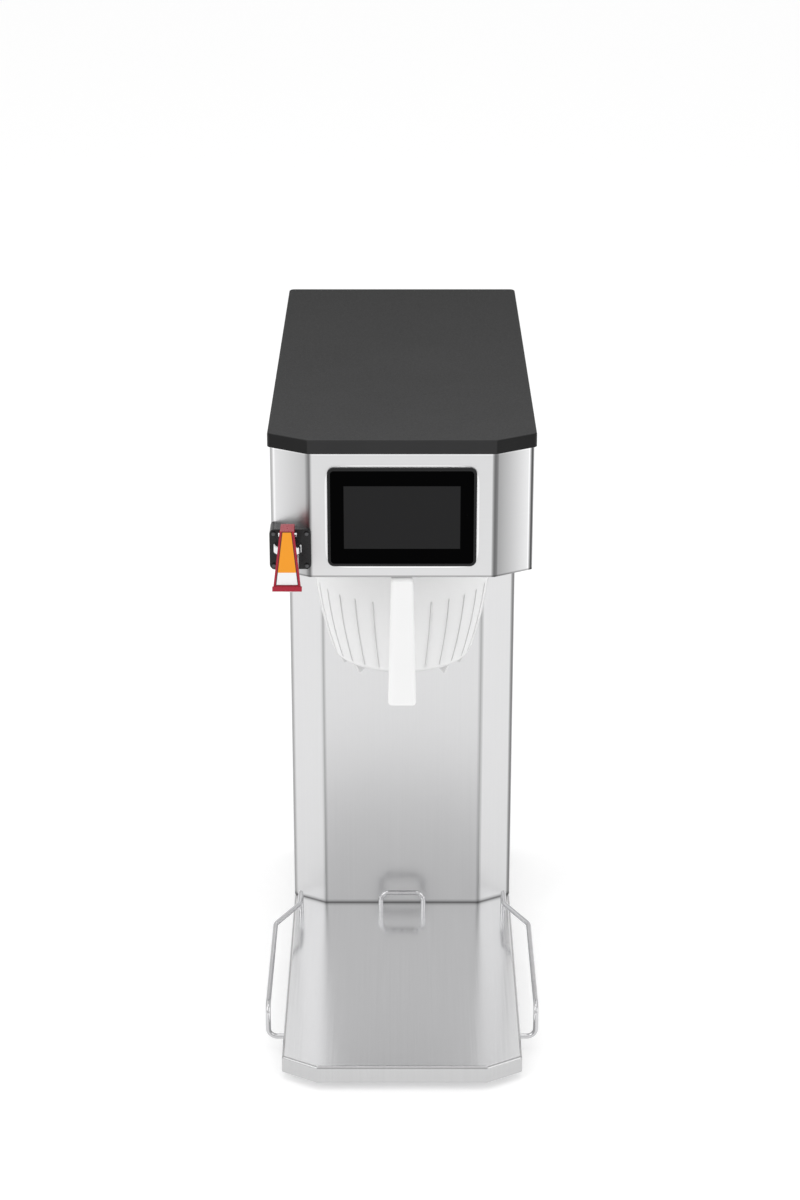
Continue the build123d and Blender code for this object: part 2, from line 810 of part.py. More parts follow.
def dilution_nozzle():
    spot = (nozzle_offset, nozzle_y, floor_top)
    below = sheet + nozzle_reach
    above = nozzle_flange_thick + barb_length
    nozzle = rod(spot, (0, 0, 1), nozzle_flange, nozzle_flange_thick)
    nozzle += rod(spot, (0, 0, -1), nozzle_radius, below)
    nozzle += rod(spot, (0, 0, 1), barb_radius, above)
    return nozzle - rod((spot[0], spot[1], floor_top - below), (0, 0, 1), nozzle_bore, below + above)


# ---- tank ------------------------------------------------------------------------------------
lid_top = hood_top - lid_below_top
rim_top = lid_top - lid_thick - gasket_thick
tank_bottom = rim_top - tank_height
tank_front = column_front + tank_front_gap
tank_y = tank_front + tank_depth / 2
barb_y = back - barb_setback
fill_port = (fill_x, barb_y)
manifold_z = base_top + inlet_rise
faucet_port_z = lid_top - faucet_port_drop
shelf_under = tank_bottom - shelf_sheet


def tank_slab(grow, z0, z1):
    face = RectangleRounded(tank_width + 2 * grow, tank_depth + 2 * grow, tank_corner + grow)
    return Pos(0, tank_y, z0) * extrude(face, z1 - z0)


def water_tank():
    tank = tank_slab(0, tank_bottom, rim_top) + tank_slab(tank_rim, rim_top - tank_wall, rim_top)
    tank += rod((*fill_port, tank_bottom - port_length), (0, 0, 1), barb_radius, port_length)
    tank += rod((faucet_port_x, tank_front - port_length, faucet_port_z), (0, 1, 0), barb_radius,
                port_length)
    return tank - tank_slab(-tank_wall, tank_bottom + tank_wall, rim_top)


def tank_gasket():
    return (tank_slab(tank_rim, rim_top, rim_top + gasket_thick)
            - tank_slab(-tank_wall, rim_top, rim_top + gasket_thick))


def lid_screw_spots():
    x = tank_width / 2 + tank_rim / 2
    y = tank_depth / 2 + tank_rim / 2
    return ([(sx * x, tank_y + sy * tank_depth / 4) for sx in (-1, 1) for sy in (-1, 1)]
            + [(sx * tank_width / 4, tank_y + sy * y) for sx in (-1, 1) for sy in (-1, 1)])


def drilled_rim(piece, z0, z1):
    for x, y in lid_screw_spots():
        piece -= rod((x, y, z0), (0, 0, 1), lid_screw_hole, z1 - z0)
    return piece


def tank_lid():
    lid = tank_slab(tank_rim, lid_top - lid_thick, lid_top)
    for x in (-heater_half_width, heater_half_width):
        lid -= rod((x, tank_y, lid_top - lid_thick), (0, 0, 1), heater_radius, lid_thick)
    lid -= rod((probe_offset, tank_y, lid_top - lid_thick), (0, 0, 1), probe_radius, lid_thick)
    return lid - rod((-probe_offset, tank_y, lid_top - lid_thick), (0, 0, 1), probe_radius, lid_thick)


def lid_screws():
    length = lid_thick + gasket_thick + tank_wall + screw_end
    return [screw((x, y, lid_top), (0, 0, -1), length, lid_screw, lid_screw_head)
            for x, y in lid_screw_spots()]


def heating_element():
    low = tank_bottom + heater_floor_gap
    high = lid_top + heater_terminal
    x = heater_half_width
    return tube([(-x, tank_y, high), (-x, tank_y, low), (x, tank_y, low), (x, tank_y, high)],
                heater_radius, heater_half_width - heater_radius)


def sensor(x, length):
    probe = rod((x, tank_y, lid_top), (0, 0, -1), probe_radius, length)
    return probe + hexagon((x, tank_y, lid_top), (0, 0, 1), 2 * sensor_head_radius, sensor_head_height)


def temperature_probe():
    return sensor(probe_offset, probe_length)


def level_probe():
    return sensor(-probe_offset, level_length)


def limit_thermostat():
    """A disc thermostat on the lid, with two mounting ears and two upright tabs."""
    y = tank_y + tank_depth / 4
    disc = rod((0, y, lid_top), (0, 0, 1), limit_radius, limit_height)
    disc += block(-limit_ear_length / 2, limit_ear_length / 2, y - limit_ear_width / 2,
                  y + limit_ear_width / 2, lid_top, lid_top + limit_ear_thick)
    for side in (-1, 1):
        x = side * limit_tab_spacing / 2
        disc += block(x - limit_tab_thick / 2, x + limit_tab_thick / 2, y - limit_tab_width / 2,
                      y + limit_tab_width / 2, lid_top, lid_top + limit_height + limit_tab_height)
    return disc


def tank_shelf():
    """A folded shelf across the column, with a flange down each side and two hose holes."""
    inner = half_width - sheet
    start = column_front + corner_depth + bend_radius
    end = back - sheet - shelf_back_gap
    shelf = block(-inner, inner, start, end, shelf_under, tank_bottom)
    for side in (-1, 1):
        x0, x1 = sorted((side * inner, side * (inner - shelf_sheet)))
        shelf += block(x0, x1, start, end, tank_bottom - shelf_flange, tank_bottom)
    shelf -= rod((*fill_port, shelf_under), (0, 0, 1), port_radius, shelf_sheet)
    return shelf - rod((dilution_x, barb_y, shelf_under), (0, 0, 1), port_radius, shelf_sheet)


def fill_hose():
    start = (inlet_x - manifold_width / 2, barb_y, manifold_z)
    return hose([start, (*fill_port, manifold_z), (*fill_port, shelf_under)], hose_bend)


def dilution_hose():
    high = floor_top + dilution_rise
    points = [(inlet_x + manifold_width / 2, barb_y, manifold_z),
              (dilution_x, barb_y, manifold_z),
              (dilution_x, barb_y, high),
              (dilution_x, nozzle_y + dilution_sweep, high),
              (nozzle_offset, nozzle_y, high),
              (nozzle_offset, nozzle_y, floor_top + nozzle_flange_thick)]
    return hose(points, [hose_bend, hose_bend, hose_bend, dilution_end_bend])


def faucet_hose():
    points = [(-faucet_offset, front + shank_end, shank_z),
              (-faucet_offset, front + hose_front_run, shank_z),
              (faucet_port_x, front + hose_rear_run, faucet_port_z),
              (faucet_port_x, tank_front, faucet_port_z)]
    return hose(points, [hose_front_bend, hose_rear_bend])


# ---- water inlet and electrics at the back ---------------------------------------------------
gland_z = base_top + gland_rise
stack_gap = (shelf_under - gland_z - gland_flange - terminal_height - relay_height) / 3
terminal_z = gland_z + gland_flange + stack_gap
relay_z = terminal_z + terminal_height + stack_gap


def inlet_fitting():
    """1/4 inch flare fitting: hexagon and thread outside the panel, shank in the valve block."""
    outside = back + sheet
    spot = (inlet_x, outside, manifold_z)
    outer_length = inlet_hex_thick + inlet_thread_length
    fitting = hexagon(spot, (0, 1, 0), inlet_hex, inlet_hex_thick)
    fitting += rod(spot, (0, 1, 0), inlet_thread, outer_length)
    fitting += rod(spot, (0, -1, 0), inlet_shank, inlet_shank_length)
    fitting -= rod(spot, (0, 1, 0), inlet_bore, outer_length)
    return fitting - rod(spot, (0, -1, 0), inlet_bore, inlet_shank_length)


def inlet_valve():
    """Twin solenoid valve: one coil fills the tank, the other feeds the dilution nozzle."""
    half = manifold_width / 2
    top = manifold_z + manifold_height / 2
    body = block(inlet_x - half, inlet_x + half, back - manifold_depth, back,
                 manifold_z - manifold_height / 2, top)
    body -= rod((inlet_x, back, manifold_z), (0, -1, 0), inlet_shank, inlet_shank_length - sheet)
    for side in (-1, 1):
        coil = (inlet_x + side * half / 2, back - manifold_depth / 2, top)
        body += rod(coil, (0, 0, 1), half / 2 - coil_gap, coil_height)
        barb = (inlet_x + side * half, barb_y, manifold_z)
        body += rod(barb, (side, 0, 0), barb_radius, barb_length)
    return body


def cable_gland():
    """A gland with a hexagonal flange outside the panel and a nut inside, bored for the lead."""
    outside = (gland_x, back + sheet, gland_z)
    gland = hexagon(outside, (0, 1, 0), 2 * gland_flange, gland_flange_thick)
    gland += rod(outside, (0, -1, 0), gland_radius, gland_length)
    gland += hexagon((gland_x, back, gland_z), (0, -1, 0), 2 * gland_flange, gland_flange_thick)
    gland -= rod(outside, (0, 1, 0), gland_bore, gland_flange_thick)
    return gland - rod(outside, (0, -1, 0), gland_bore, gland_length)


def power_switch():
    """The switch's housing and frame, with a bay for its rocker."""
    z = base_top + switch_rise
    w = switch_width / 2
    h = switch_height / 2
    outside = back + sheet
    frame = block(switch_x - w - switch_frame, switch_x + w + switch_frame, outside,
                  outside + switch_stand, z - h - switch_frame, z + h + switch_frame)
    frame += block(switch_x - w, switch_x + w, outside - switch_depth, outside, z - h, z + h)
    bay = rocker_radius + rocker_clearance
    half = rocker_width / 2 + rocker_clearance
    frame -= block(switch_x - half, switch_x + half, outside - bay, outside + switch_stand, z - bay, z + bay)
    return frame


def power_rocker():
    """A rocker cap that turns about an axle across the switch: a drum with a shallow V face."""
    z = base_top + switch_rise
    axle_y = back + sheet
    drum = rod((switch_x - rocker_width / 2, axle_y, z), (1, 0, 0), rocker_radius, rocker_width)
    face = block(-rocker_width, rocker_width, rocker_valley, 3 * rocker_radius,
                 -3 * rocker_radius, 3 * rocker_radius)
    for side in (-1, 1):
        drum -= Pos(switch_x, axle_y, z) * (Rot(X=side * rocker_tilt) * face)
    return drum.rotate(Axis((switch_x, axle_y, z), (1, 0, 0)), rocker_tilt)


def heater_relay():
    """A solid-state relay on a finned heat sink, which is fixed to the rear panel."""
    x0 = gland_x - relay_width / 2
    top = relay_z + relay_height
    y = back - relay_depth + relay_block
    relay = block(x0, x0 + relay_width, back - relay_depth, y, relay_z, top)
    relay += block(x0, x0 + relay_width, y, y + sink_plate, relay_z, top)
    pitch = (relay_width - sink_fin) / (sink_fins - 1)
    for fin in range(sink_fins):
        x = x0 + fin * pitch
        relay += block(x, x + sink_fin, y + sink_plate, back, relay_z, top)
    return relay


def terminal_block():
    x0 = gland_x - terminal_width / 2
    strip = block(x0, x0 + terminal_width, back - terminal_depth, back,
                  terminal_z, terminal_z + terminal_height)
    for pole in range(terminal_poles):
        x = x0 + terminal_width * (pole + 0.5) / terminal_poles
        spot = (x, back - terminal_depth, terminal_z + terminal_height / 2)
        strip -= rod(spot, (0, 1, 0), terminal_hole, terminal_hole_depth)
    return strip


# ---- brew basket -----------------------------------------------------------------------------
floor_edge_z = flange_under - bowl_floor_drop
outlet_z = floor_edge_z - (bowl_floor_radius - outlet_radius) * tan(radians(floor_slope))


def bowl_face(inset, top):
    """Half section of the bowl, in by a wall thickness, up to a height."""
    shoulder_z = flange_under - shoulder_drop
    rim = Line((bowl_radius - inset, top), (bowl_radius - inset, flange_under))
    side = Line(rim @ 1, (shoulder_radius - inset, shoulder_z))
    turn = SagittaArc(side @ 1, (bowl_floor_radius - inset, floor_edge_z + inset), -wall_bulge)
    floor = Line(turn @ 1, (outlet_radius, outlet_z + inset))
    axis = Line(floor @ 1, (0, outlet_z + inset)) + Line((0, outlet_z + inset), (0, top))
    face = make_face(rim + side + turn + floor + axis + Line((0, top), rim @ 0))
    edge = face.vertices().sort_by_distance((bowl_floor_radius - inset, floor_edge_z + inset))[0]
    return fillet(edge, bowl_edge_radius - inset)


def wall_radius(z):
    """Outside radius of the bowl's wall at a height."""
    shoulder_z = flange_under - shoulder_drop
    if z >= shoulder_z:
        share = (z - shoulder_z) / shoulder_drop
        return shoulder_radius + (bowl_radius - shoulder_radius) * share
    share = (shoulder_z - z) / (shoulder_z - floor_edge_z)
    return (shoulder_radius + (bowl_floor_radius - shoulder_radius) * share
            + 4 * wall_bulge * share * (1 - share))


def bowl_ribs():
    """Fine upright ribs on the lower wall, each a thin bar laid along three heights."""
    low = floor_edge_z + bowl_edge_radius + rib_width
    top = flange_under - rib_top_drop
    heights = [top, (top + 2 * low) / 3, low]
    outer = [(wall_radius(z) + rib_proud, z) for z in heights]
    inner = [(wall_radius(z) - bowl_wall / 2, z) for z in reversed(heights)]
    face = make_face(Polyline(*outer, *inner, close=True))
    rib = extrude(Plane.XZ * face, rib_width / 2, both=True)
    return [Rot(Z=360 * (step + 0.5) / rib_count) * rib for step in range(rib_count)]


def bowl_fins():
    low = floor_edge_z - fin_drop
    high = floor_edge_z + bowl_edge_radius
    profile = Polyline((fin_inner_radius, low), (fin_outer_radius - fin_toe_run, low),
                       (fin_outer_radius, low + fin_toe_rise), (fin_outer_radius, high),
                       (fin_inner_radius, high - fin_slope_drop), close=True)
    fin = extrude(Plane.XZ * make_face(profile), fin_thick / 2, both=True)
    return [Rot(Z=-90 + 360 * step / fin_count) * fin for step in range(fin_count)]


def brew_basket():
    bowl = revolve(Plane.XZ * bowl_face(0, flange_top), Axis.Z)
    for rib in bowl_ribs() + bowl_fins():
        bowl += rib
    bowl += rod((0, 0, outlet_z), (0, 0, -1), outlet_radius, outlet_length)
    flange = RectangleRounded(flange_width, flange_length, flange_corner)
    bowl += Pos(0, 0, flange_under) * extrude(flange, flange_thick)
    bowl -= revolve(Plane.XZ * bowl_face(bowl_wall, flange_top), Axis.Z)
    bowl -= rod((0, 0, outlet_z - outlet_length), (0, 0, 1), outlet_bore, outlet_length + 2 * bowl_wall)
    return Pos(0, basket_y, 0) * bowl


def grip_slice(z, width):
    face = RectangleRounded(width, grip_depth, grip_rounding)
    return Pos(0, front - grip_forward + grip_depth / 2, z) * face


def basket_grip():
    """The hanging grip, and the arm that carries it from the front of the basket's flange."""
    top = hood_bottom - grip_top_gap
    low = hood_bottom - grip_drop
    grip = loft([grip_slice(low, grip_bottom_width), grip_slice(top, grip_top_width)])
    grip = fillet(grip.faces().sort_by(Axis.Z)[0].edges(), grip_foot_rounding)
    grip = fillet(grip.faces().sort_by(Axis.Z)[-1].edges(), grip_top_rounding)
    flange_front = basket_y - flange_length / 2
    inside = front - grip_forward + grip_depth / 2
    grip += block(-arm_width / 2, arm_width / 2, inside, flange_front, flange_top - arm_height, flange_top)
    lap = flange_front + arm_lap
    grip += block(-arm_width / 2, arm_width / 2, flange_front, lap, flange_top - arm_height, flange_under)
    return grip


def bowl_floor_height(radius):
    """Inside height of the bowl's sloping floor at a radius."""
    inner_edge = bowl_floor_radius - bowl_wall
    rise = (floor_edge_z - outlet_z) / (inner_edge - outlet_radius)
    return outlet_z + bowl_wall + (radius - outlet_radius) * rise


def filter_insert():
    """A wire insert that holds the paper filter off the wall."""
    low = bowl_floor_height(insert_bottom_radius + insert_wire) + insert_wire + insert_gap
    high = low + insert_height
    insert = Part()
    for ring_radius, z in ((insert_bottom_radius, low), (insert_top_radius, high)):
        band = Rectangle(2 * insert_wire, 2 * insert_wire)
        insert += revolve(Plane.XZ * (Pos(ring_radius, z) * band), Axis.Z)
    for step in range(insert_wires):
        turn = 2 * pi * (step + 0.5) / insert_wires
        foot = Vector(insert_bottom_radius * cos(turn), insert_bottom_radius * sin(turn), low)
        head = Vector(insert_top_radius * cos(turn), insert_top_radius * sin(turn), high)
        insert += rod(foot, head - foot, insert_wire * 0.8, (head - foot).length)
    return Pos(0, basket_y, 0) * insert


# ---- hot-water faucet ------------------------------------------------------------------------
def faucet_mount():
    """The wedge that squares the faucet to the front on the cut-back corner of the hood."""
    right = -half_width + corner_run + mount_lap
    left = right - mount_width
    side_y = front + corner_depth
    plan = Polyline((right, front - mount_plate), (right, front), (-half_width + corner_run, front),
                    (-half_width, side_y), (left, side_y), (left, front - mount_plate), close=True)
    low = hood_bottom + mount_base
    wedge = extrude(Pos(0, 0, low) * make_face(plan), mount_height)
    face = Plane.XZ * RectangleRounded(mount_width, mount_height, mount_corner)
    middle = Pos((left + right) / 2, side_y, low + mount_height / 2)
    wedge = wedge & (middle * extrude(face, corner_depth + mount_plate))
    wedge += rod((-faucet_offset, front, shank_z), (0, 1, 0), boss_radius, boss_length)
    wedge -= mount_screw_holes()
    return wedge - rod((-faucet_offset, front - mount_plate, shank_z), (0, 1, 0), shank_radius,
                       mount_plate + boss_length)


def mount_screw_spots():
    right = -half_width + corner_run + mount_lap
    left = right - mount_width
    low = hood_bottom + mount_base + mount_screw_inset
    high = hood_bottom + mount_base + mount_height - mount_screw_inset
    return [(x, z) for x in (left + mount_screw_inset, right - mount_screw_inset) for z in (low, high)]


def mount_screw_holes():
    return [rod((x, front - mount_plate, z), (0, 1, 0), mount_screw, mount_screw_length)
            for x, z in mount_screw_spots()]


def faucet_mount_screws():
    return [screw((x, front - mount_plate, z), (0, 1, 0), mount_screw_length, mount_screw,
                  mount_screw_head) for x, z in mount_screw_spots()]


def faucet_body():
    bottom = bonnet_under - barrel_height
    x = -faucet_offset
    body = rod((x, faucet_y, bottom), (0, 0, 1), barrel_radius, barrel_height)
    body = fillet(body.faces().sort_by(Axis.Z)[0].edges(), barrel_rounding)
    body += rod((x, faucet_y, bottom), (0, 0, -1), spout_radius, spout_reach)
    body += rod((x, faucet_y, shank_z), (0, 1, 0), shank_radius, faucet_out + shank_end)
    body += rod((x, faucet_y, shank_z), (0, 1, 0), shank_radius + shank_collar, faucet_out - mount_plate)
    inner = barrel_radius - barrel_wall
    body -= rod((x, faucet_y, bottom + barrel_wall), (0, 0, 1), inner, barrel_height - barrel_wall)
    body -= rod((x, faucet_y, bottom - spout_reach), (0, 0, 1), spout_bore, spout_reach + barrel_wall)
    return body - rod((x, faucet_y, shank_z), (0, 1, 0), shank_bore, faucet_out + shank_end)


def faucet_nut():
    seat = (-faucet_offset, front + boss_length, shank_z)
    return hexagon(seat, (0, 1, 0), nut_flats, nut_thick) - rod(seat, (0, 1, 0), shank_radius, nut_thick)


def faucet_bonnet():
    spot = (-faucet_offset, faucet_y, bonnet_under)
    bonnet = rod(spot, (0, 0, 1), bonnet_radius, bonnet_height)
    bonnet = chamfer(bonnet.faces().sort_by(Axis.Z)[-1].edges(), bonnet_chamfer)
    bonnet = chamfer(bonnet.faces().sort_by(Axis.Z)[0].edges(), bonnet_chamfer)
    return bonnet - rod(spot, (0, 0, 1), stem_radius + stem_clearance, bonnet_height)


cup_bottom = bonnet_under - barrel_height + barrel_wall + cup_gap


def faucet_stem():
    """Valve stem: through the bonnet, with the lever pin's cross hole at its rounded top."""
    low = cup_bottom + cup_height
    stem = rod((-faucet_offset, faucet_y, low), (0, 0, 1), stem_radius, pin_z + stem_radius - low)
    return stem - rod((-faucet_offset - pin_length / 2, faucet_y, pin_z), (1, 0, 0), pin_radius, pin_length)


def seat_cup():
    return rod((-faucet_offset, faucet_y, cup_bottom), (0, 0, 1), cup_radius, cup_height)


def faucet_spring():
    low = cup_bottom + cup_height + 2 * spring_wire
    high = bonnet_under - 2 * spring_wire
    path = Helix(pitch=(high - low) / spring_turns, height=high - low, radius=spring_radius)
    coil = sweep(Plane(origin=path @ 0, z_dir=path % 0) * Circle(spring_wire), path=path, is_frenet=True)
    return Pos(-faucet_offset, faucet_y, low) * coil


def blade_plane():
    """Back face of the lever's blade, leaning out in front of the bonnet."""
    near = faucet_y - bonnet_radius - blade_gap
    return Plane(origin=(-faucet_offset, near, bonnet_top), x_dir=(1, 0, 0),
                 z_dir=(0, -cos(lean), sin(lean)))


def blade_y(z, out):
    """Depth, at a height, of the plane that lies a distance in front of the blade's back."""
    near = faucet_y - bonnet_radius - blade_gap
    return near + (z - bonnet_top) * tan(lean) - out / cos(lean)


def blade_face(border, bottom_border):
    """The blade's flared outline, in by a border."""
    top = blade_above - border
    low = -blade_below + bottom_border
    slope = (blade_foot_width - head_width) / 2 / blade_length
    top_half = head_width / 2 + slope * (blade_above - top) - border
    low_half = head_width / 2 + slope * (blade_above - low) - border
    return make_face(Polyline((-top_half, top), (top_half, top), (low_half, low), (-low_half, low),
                              close=True))


def inlay_face():
    return blade_face(inlay_border, foot_ridge + inlay_foot_gap)


def faucet_handle():
    """The lever: flared blade, foot ridge, and a forked cam head that lifts the stem."""
    blade = extrude(blade_plane() * blade_face(0, 0), blade_thick)
    ridge_half = blade_foot_width / 2 + ridge_overhang
    ridge = Pos(0, -blade_below + foot_ridge / 2, (blade_thick + ridge_proud) / 2)
    blade += blade_plane() * (ridge * Box(2 * ridge_half, foot_ridge, blade_thick + ridge_proud))
    x0 = -faucet_offset - head_width / 2
    blade += rod((x0, faucet_y + cam_offset, pin_z), (1, 0, 0), cam_radius, head_width)
    top = pin_z + cam_radius
    cam_y = faucet_y + cam_offset
    side = Polyline((blade_y(pin_z, 0), pin_z), (blade_y(pin_z, blade_thick), pin_z),
                    (blade_y(top, blade_thick), top), (cam_y, top), (cam_y, pin_z), close=True)
    blade += extrude(Plane(origin=(x0, 0, 0), z_dir=(1, 0, 0), x_dir=(0, 1, 0)) * make_face(side), head_width)
    blade -= block(x0 - head_width, x0 + 2 * head_width, blade_y(top, 2 * blade_thick), cam_y,
                   top, top + blade_thick)
    pocket = Pos(0, 0, blade_thick - inlay_thick)
    blade -= extrude(blade_plane() * (pocket * inlay_face()), inlay_thick)
    half = fork_width / 2
    blade -= block(-faucet_offset - half, -faucet_offset + half, faucet_y - fork_clearance,
                   cam_y + cam_radius, bonnet_top, pin_z + fork_clearance)
    return blade - rod((x0, faucet_y, pin_z), (1, 0, 0), pin_radius + pin_clearance, head_width)


def handle_inlay():
    pocket = Pos(0, 0, blade_thick - inlay_thick)
    return extrude(blade_plane() * (pocket * inlay_face()), inlay_thick - inlay_sunk)


def lever_pin():
    return rod((-faucet_offset - pin_length / 2, faucet_y, pin_z), (1, 0, 0), pin_radius, pin_length)


# ---- the pieces and their files --------------------------------------------------------------
guide = guide_wire()
pieces = {
    "base_plate": base_plate(),
    "base_bottom": base_bottom(),
    "rubber_feet": rubber_feet(),
    "rear_stop_wire": rear_stop_wire(),
    "right_guide_wire": guide,
    "left_guide_wire": mirror(guide, about=Plane.YZ),
    "column_wrap": column_wrap(),
    "hood_wrap": hood_wrap(),
    "hood_floor": hood_floor(),
    "body_screws": body_screws(),
    "rear_panel": rear_panel(),
    "rear_screws": rear_screws(),
    "top_cover": top_cover(),
    "display_bezel": display_bezel(),
    "display_glass": display_glass(),
    "display_module": display_module(),
    "display_screws": display_screws(),
    "control_board": control_board(),
    "board_standoffs": board_standoffs(),
    "basket_rails": basket_rails(),
    "rail_screws": rail_screws(),
    "spray_head": spray_head(),
    "spray_elbow": spray_elbow(),
    "brew_valve": brew_valve(),
    "brew_hose": brew_hose(),
    "dilution_nozzle": dilution_nozzle(),
    "dilution_hose": dilution_hose(),
    "water_tank": drilled_rim(water_tank(), rim_top - tank_wall, rim_top),
    "tank_gasket": drilled_rim(tank_gasket(), rim_top, rim_top + gasket_thick),
    "tank_lid": drilled_rim(tank_lid(), lid_top - lid_thick, lid_top),
    "lid_screws": lid_screws(),
    "heating_element": heating_element(),
    "temperature_probe": temperature_probe(),
    "level_probe": level_probe(),
    "limit_thermostat": limit_thermostat(),
    "tank_shelf": tank_shelf(),
    "inlet_fitting": inlet_fitting(),
    "inlet_valve": inlet_valve(),
    "fill_hose": fill_hose(),
    "faucet_hose": faucet_hose(),
    "heater_relay": heater_relay(),
    "terminal_block": terminal_block(),
    "cable_gland": cable_gland(),
    "power_switch": power_switch(),
    "power_rocker": power_rocker(),
    "faucet_mount": faucet_mount(),
    "faucet_mount_screws": faucet_mount_screws(),
    "faucet_body": faucet_body(),
    "faucet_nut": faucet_nut(),
    "faucet_bonnet": faucet_bonnet(),
    "faucet_stem": faucet_stem(),
    "seat_cup": seat_cup(),
    "faucet_spring": faucet_spring(),
    "faucet_handle": faucet_handle(),
    "handle_inlay": handle_inlay(),
    "lever_pin": lever_pin(),
    "brew_basket": brew_basket(),
    "basket_grip": basket_grip(),
    "filter_insert": filter_insert(),
}

os.makedirs("parts", exist_ok=True)
for node, piece in pieces.items():
    solids = piece if isinstance(piece, list) else [piece]
    solids = [solid for entry in solids for solid in entry.solids()]
    export_step(Compound(children=solids), f"parts/{node}.step")
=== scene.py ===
import math

import bmesh
import bpy
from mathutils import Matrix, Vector


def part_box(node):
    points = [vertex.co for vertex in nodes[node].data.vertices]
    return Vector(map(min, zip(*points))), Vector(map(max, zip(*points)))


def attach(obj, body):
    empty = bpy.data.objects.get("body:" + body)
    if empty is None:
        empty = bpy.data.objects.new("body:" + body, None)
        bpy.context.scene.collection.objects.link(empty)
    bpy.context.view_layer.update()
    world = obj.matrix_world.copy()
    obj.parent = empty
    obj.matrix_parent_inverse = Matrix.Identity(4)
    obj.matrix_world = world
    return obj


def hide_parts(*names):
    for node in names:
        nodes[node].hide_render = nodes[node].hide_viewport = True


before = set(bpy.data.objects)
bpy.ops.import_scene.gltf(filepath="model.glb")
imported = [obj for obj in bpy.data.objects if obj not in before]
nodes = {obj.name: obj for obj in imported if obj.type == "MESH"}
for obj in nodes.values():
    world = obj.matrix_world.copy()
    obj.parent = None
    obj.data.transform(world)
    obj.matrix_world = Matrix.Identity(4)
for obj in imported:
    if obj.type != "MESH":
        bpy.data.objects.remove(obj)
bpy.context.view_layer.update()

# ---- Studio: camera, paper floor and lamps ----------------------------------------------------
# The machine stands on a wide sheet of white paper. A long lens looks down at it from head height,
# straight on to the screen.
lens_mm = 77.58
sensor_mm = 36.0
camera_height = 1.255
camera_distance = 1.987           # from the hood's front
camera_pitch = 21.54              # degrees below level
camera_shift = -0.0017

hood_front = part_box("hood_wrap")[0].y
camera = bpy.data.objects.new("camera", bpy.data.cameras.new("camera"))
camera.data.lens = lens_mm
camera.data.sensor_width = sensor_mm
camera.data.shift_x = camera_shift
camera.location = (0, hood_front - camera_distance, camera_height)
camera.rotation_euler = (math.radians(90 - camera_pitch), 0, 0)
bpy.context.collection.objects.link(camera)
bpy.context.scene.camera = camera
bpy.context.scene.view_settings.view_transform = "Standard"

floor_half = 11.0
floor_white = 0.8
floor_fleck = 0.01                # how much darker its fibres are
floor_fibres = 40                 # a metre
floor_glow = 0.34                 # thin paper lets some light through
room_white = 0.8


def new_finish(name):
    """An empty material, with its node tree, its surface shader and the place on the object."""
    material = bpy.data.materials.new(name)
    material.use_nodes = True
    tree = material.node_tree
    place = tree.nodes.new("ShaderNodeTexCoord").outputs["Object"]
    return material, tree, tree.nodes["Principled BSDF"], place


def cloud(tree, place, scale, detail=3.0):
    """Noise over the object, with a scale along each axis in cells per metre."""
    stretch = tree.nodes.new("ShaderNodeMapping")
    stretch.inputs["Scale"].default_value = scale
    noise = tree.nodes.new("ShaderNodeTexNoise")
    noise.inputs["Scale"].default_value = 1.0
    noise.inputs["Detail"].default_value = detail
    tree.links.new(place, stretch.inputs["Vector"])
    tree.links.new(stretch.outputs["Vector"], noise.inputs["Vector"])
    return noise.outputs["Fac"]


def between(tree, share, first, second):
    """A colour from the first to the second as the share goes from 0 to 1."""
    mix = tree.nodes.new("ShaderNodeMix")
    mix.data_type = "RGBA"
    tree.links.new(share, mix.inputs["Factor"])
    for socket, colour in ((mix.inputs[6], first), (mix.inputs[7], second)):
        if isinstance(colour, bpy.types.NodeSocket):
            tree.links.new(colour, socket)
        else:
            socket.default_value = (*colour, 1.0)
    return mix.outputs[2]


paper, tree, shader, place = new_finish("white_paper")
fibre = cloud(tree, place, (floor_fibres,) * 3)
floor_tone = between(tree, fibre, (floor_white - floor_fleck,) * 3, (floor_white,) * 3)
tree.links.new(floor_tone, shader.inputs["Base Color"])
shader.inputs["Roughness"].default_value = 0.9
shader.inputs["Specular IOR Level"].default_value = 0.1
shader.inputs["Emission Color"].default_value = (1, 1, 1, 1)
shader.inputs["Emission Strength"].default_value = floor_glow
sheet_mesh = bpy.data.meshes.new("paper_floor")
corners = [(x * floor_half, y * floor_half, 0) for x, y in ((-1, -1), (1, -1), (1, 1), (-1, 1))]
sheet_mesh.from_pydata(corners, [], [(0, 1, 2, 3)])
paper_floor = bpy.data.objects.new("paper_floor", sheet_mesh)
paper_floor.data.materials.append(paper)
bpy.context.collection.objects.link(paper_floor)

world = bpy.data.worlds.new("white_room")
world.use_nodes = True
backdrop = world.node_tree.nodes["Background"]
backdrop.inputs["Color"].default_value = (1, 1, 1, 1)
backdrop.inputs["Strength"].default_value = room_white
bpy.context.scene.world = world


def softbox(name, place, aim, width, height, power):
    """A large soft lamp at a place, turned towards a point."""
    lamp = bpy.data.objects.new(name, bpy.data.lights.new(name, "AREA"))
    lamp.data.shape = "RECTANGLE"
    lamp.data.size = width
    lamp.data.size_y = height
    lamp.data.energy = power
    lamp.location = place
    lamp.rotation_mode = "QUATERNION"
    lamp.rotation_quaternion = (Vector(aim) - Vector(place)).to_track_quat("-Z", "Y")
    bpy.context.collection.objects.link(lamp)


softbox("overhead_softbox", (0, -0.3, 2.6), aim=(0, 0, 0.3), width=2.4, height=2.4, power=14)
softbox("left_softbox", (-1.8, -1.6, 1.5), aim=(0, 0, 0.3), width=1.2, height=1.6, power=10)
softbox("right_softbox", (1.8, -1.4, 0.9), aim=(0, 0, 0.2), width=1.0, height=1.2, power=5)


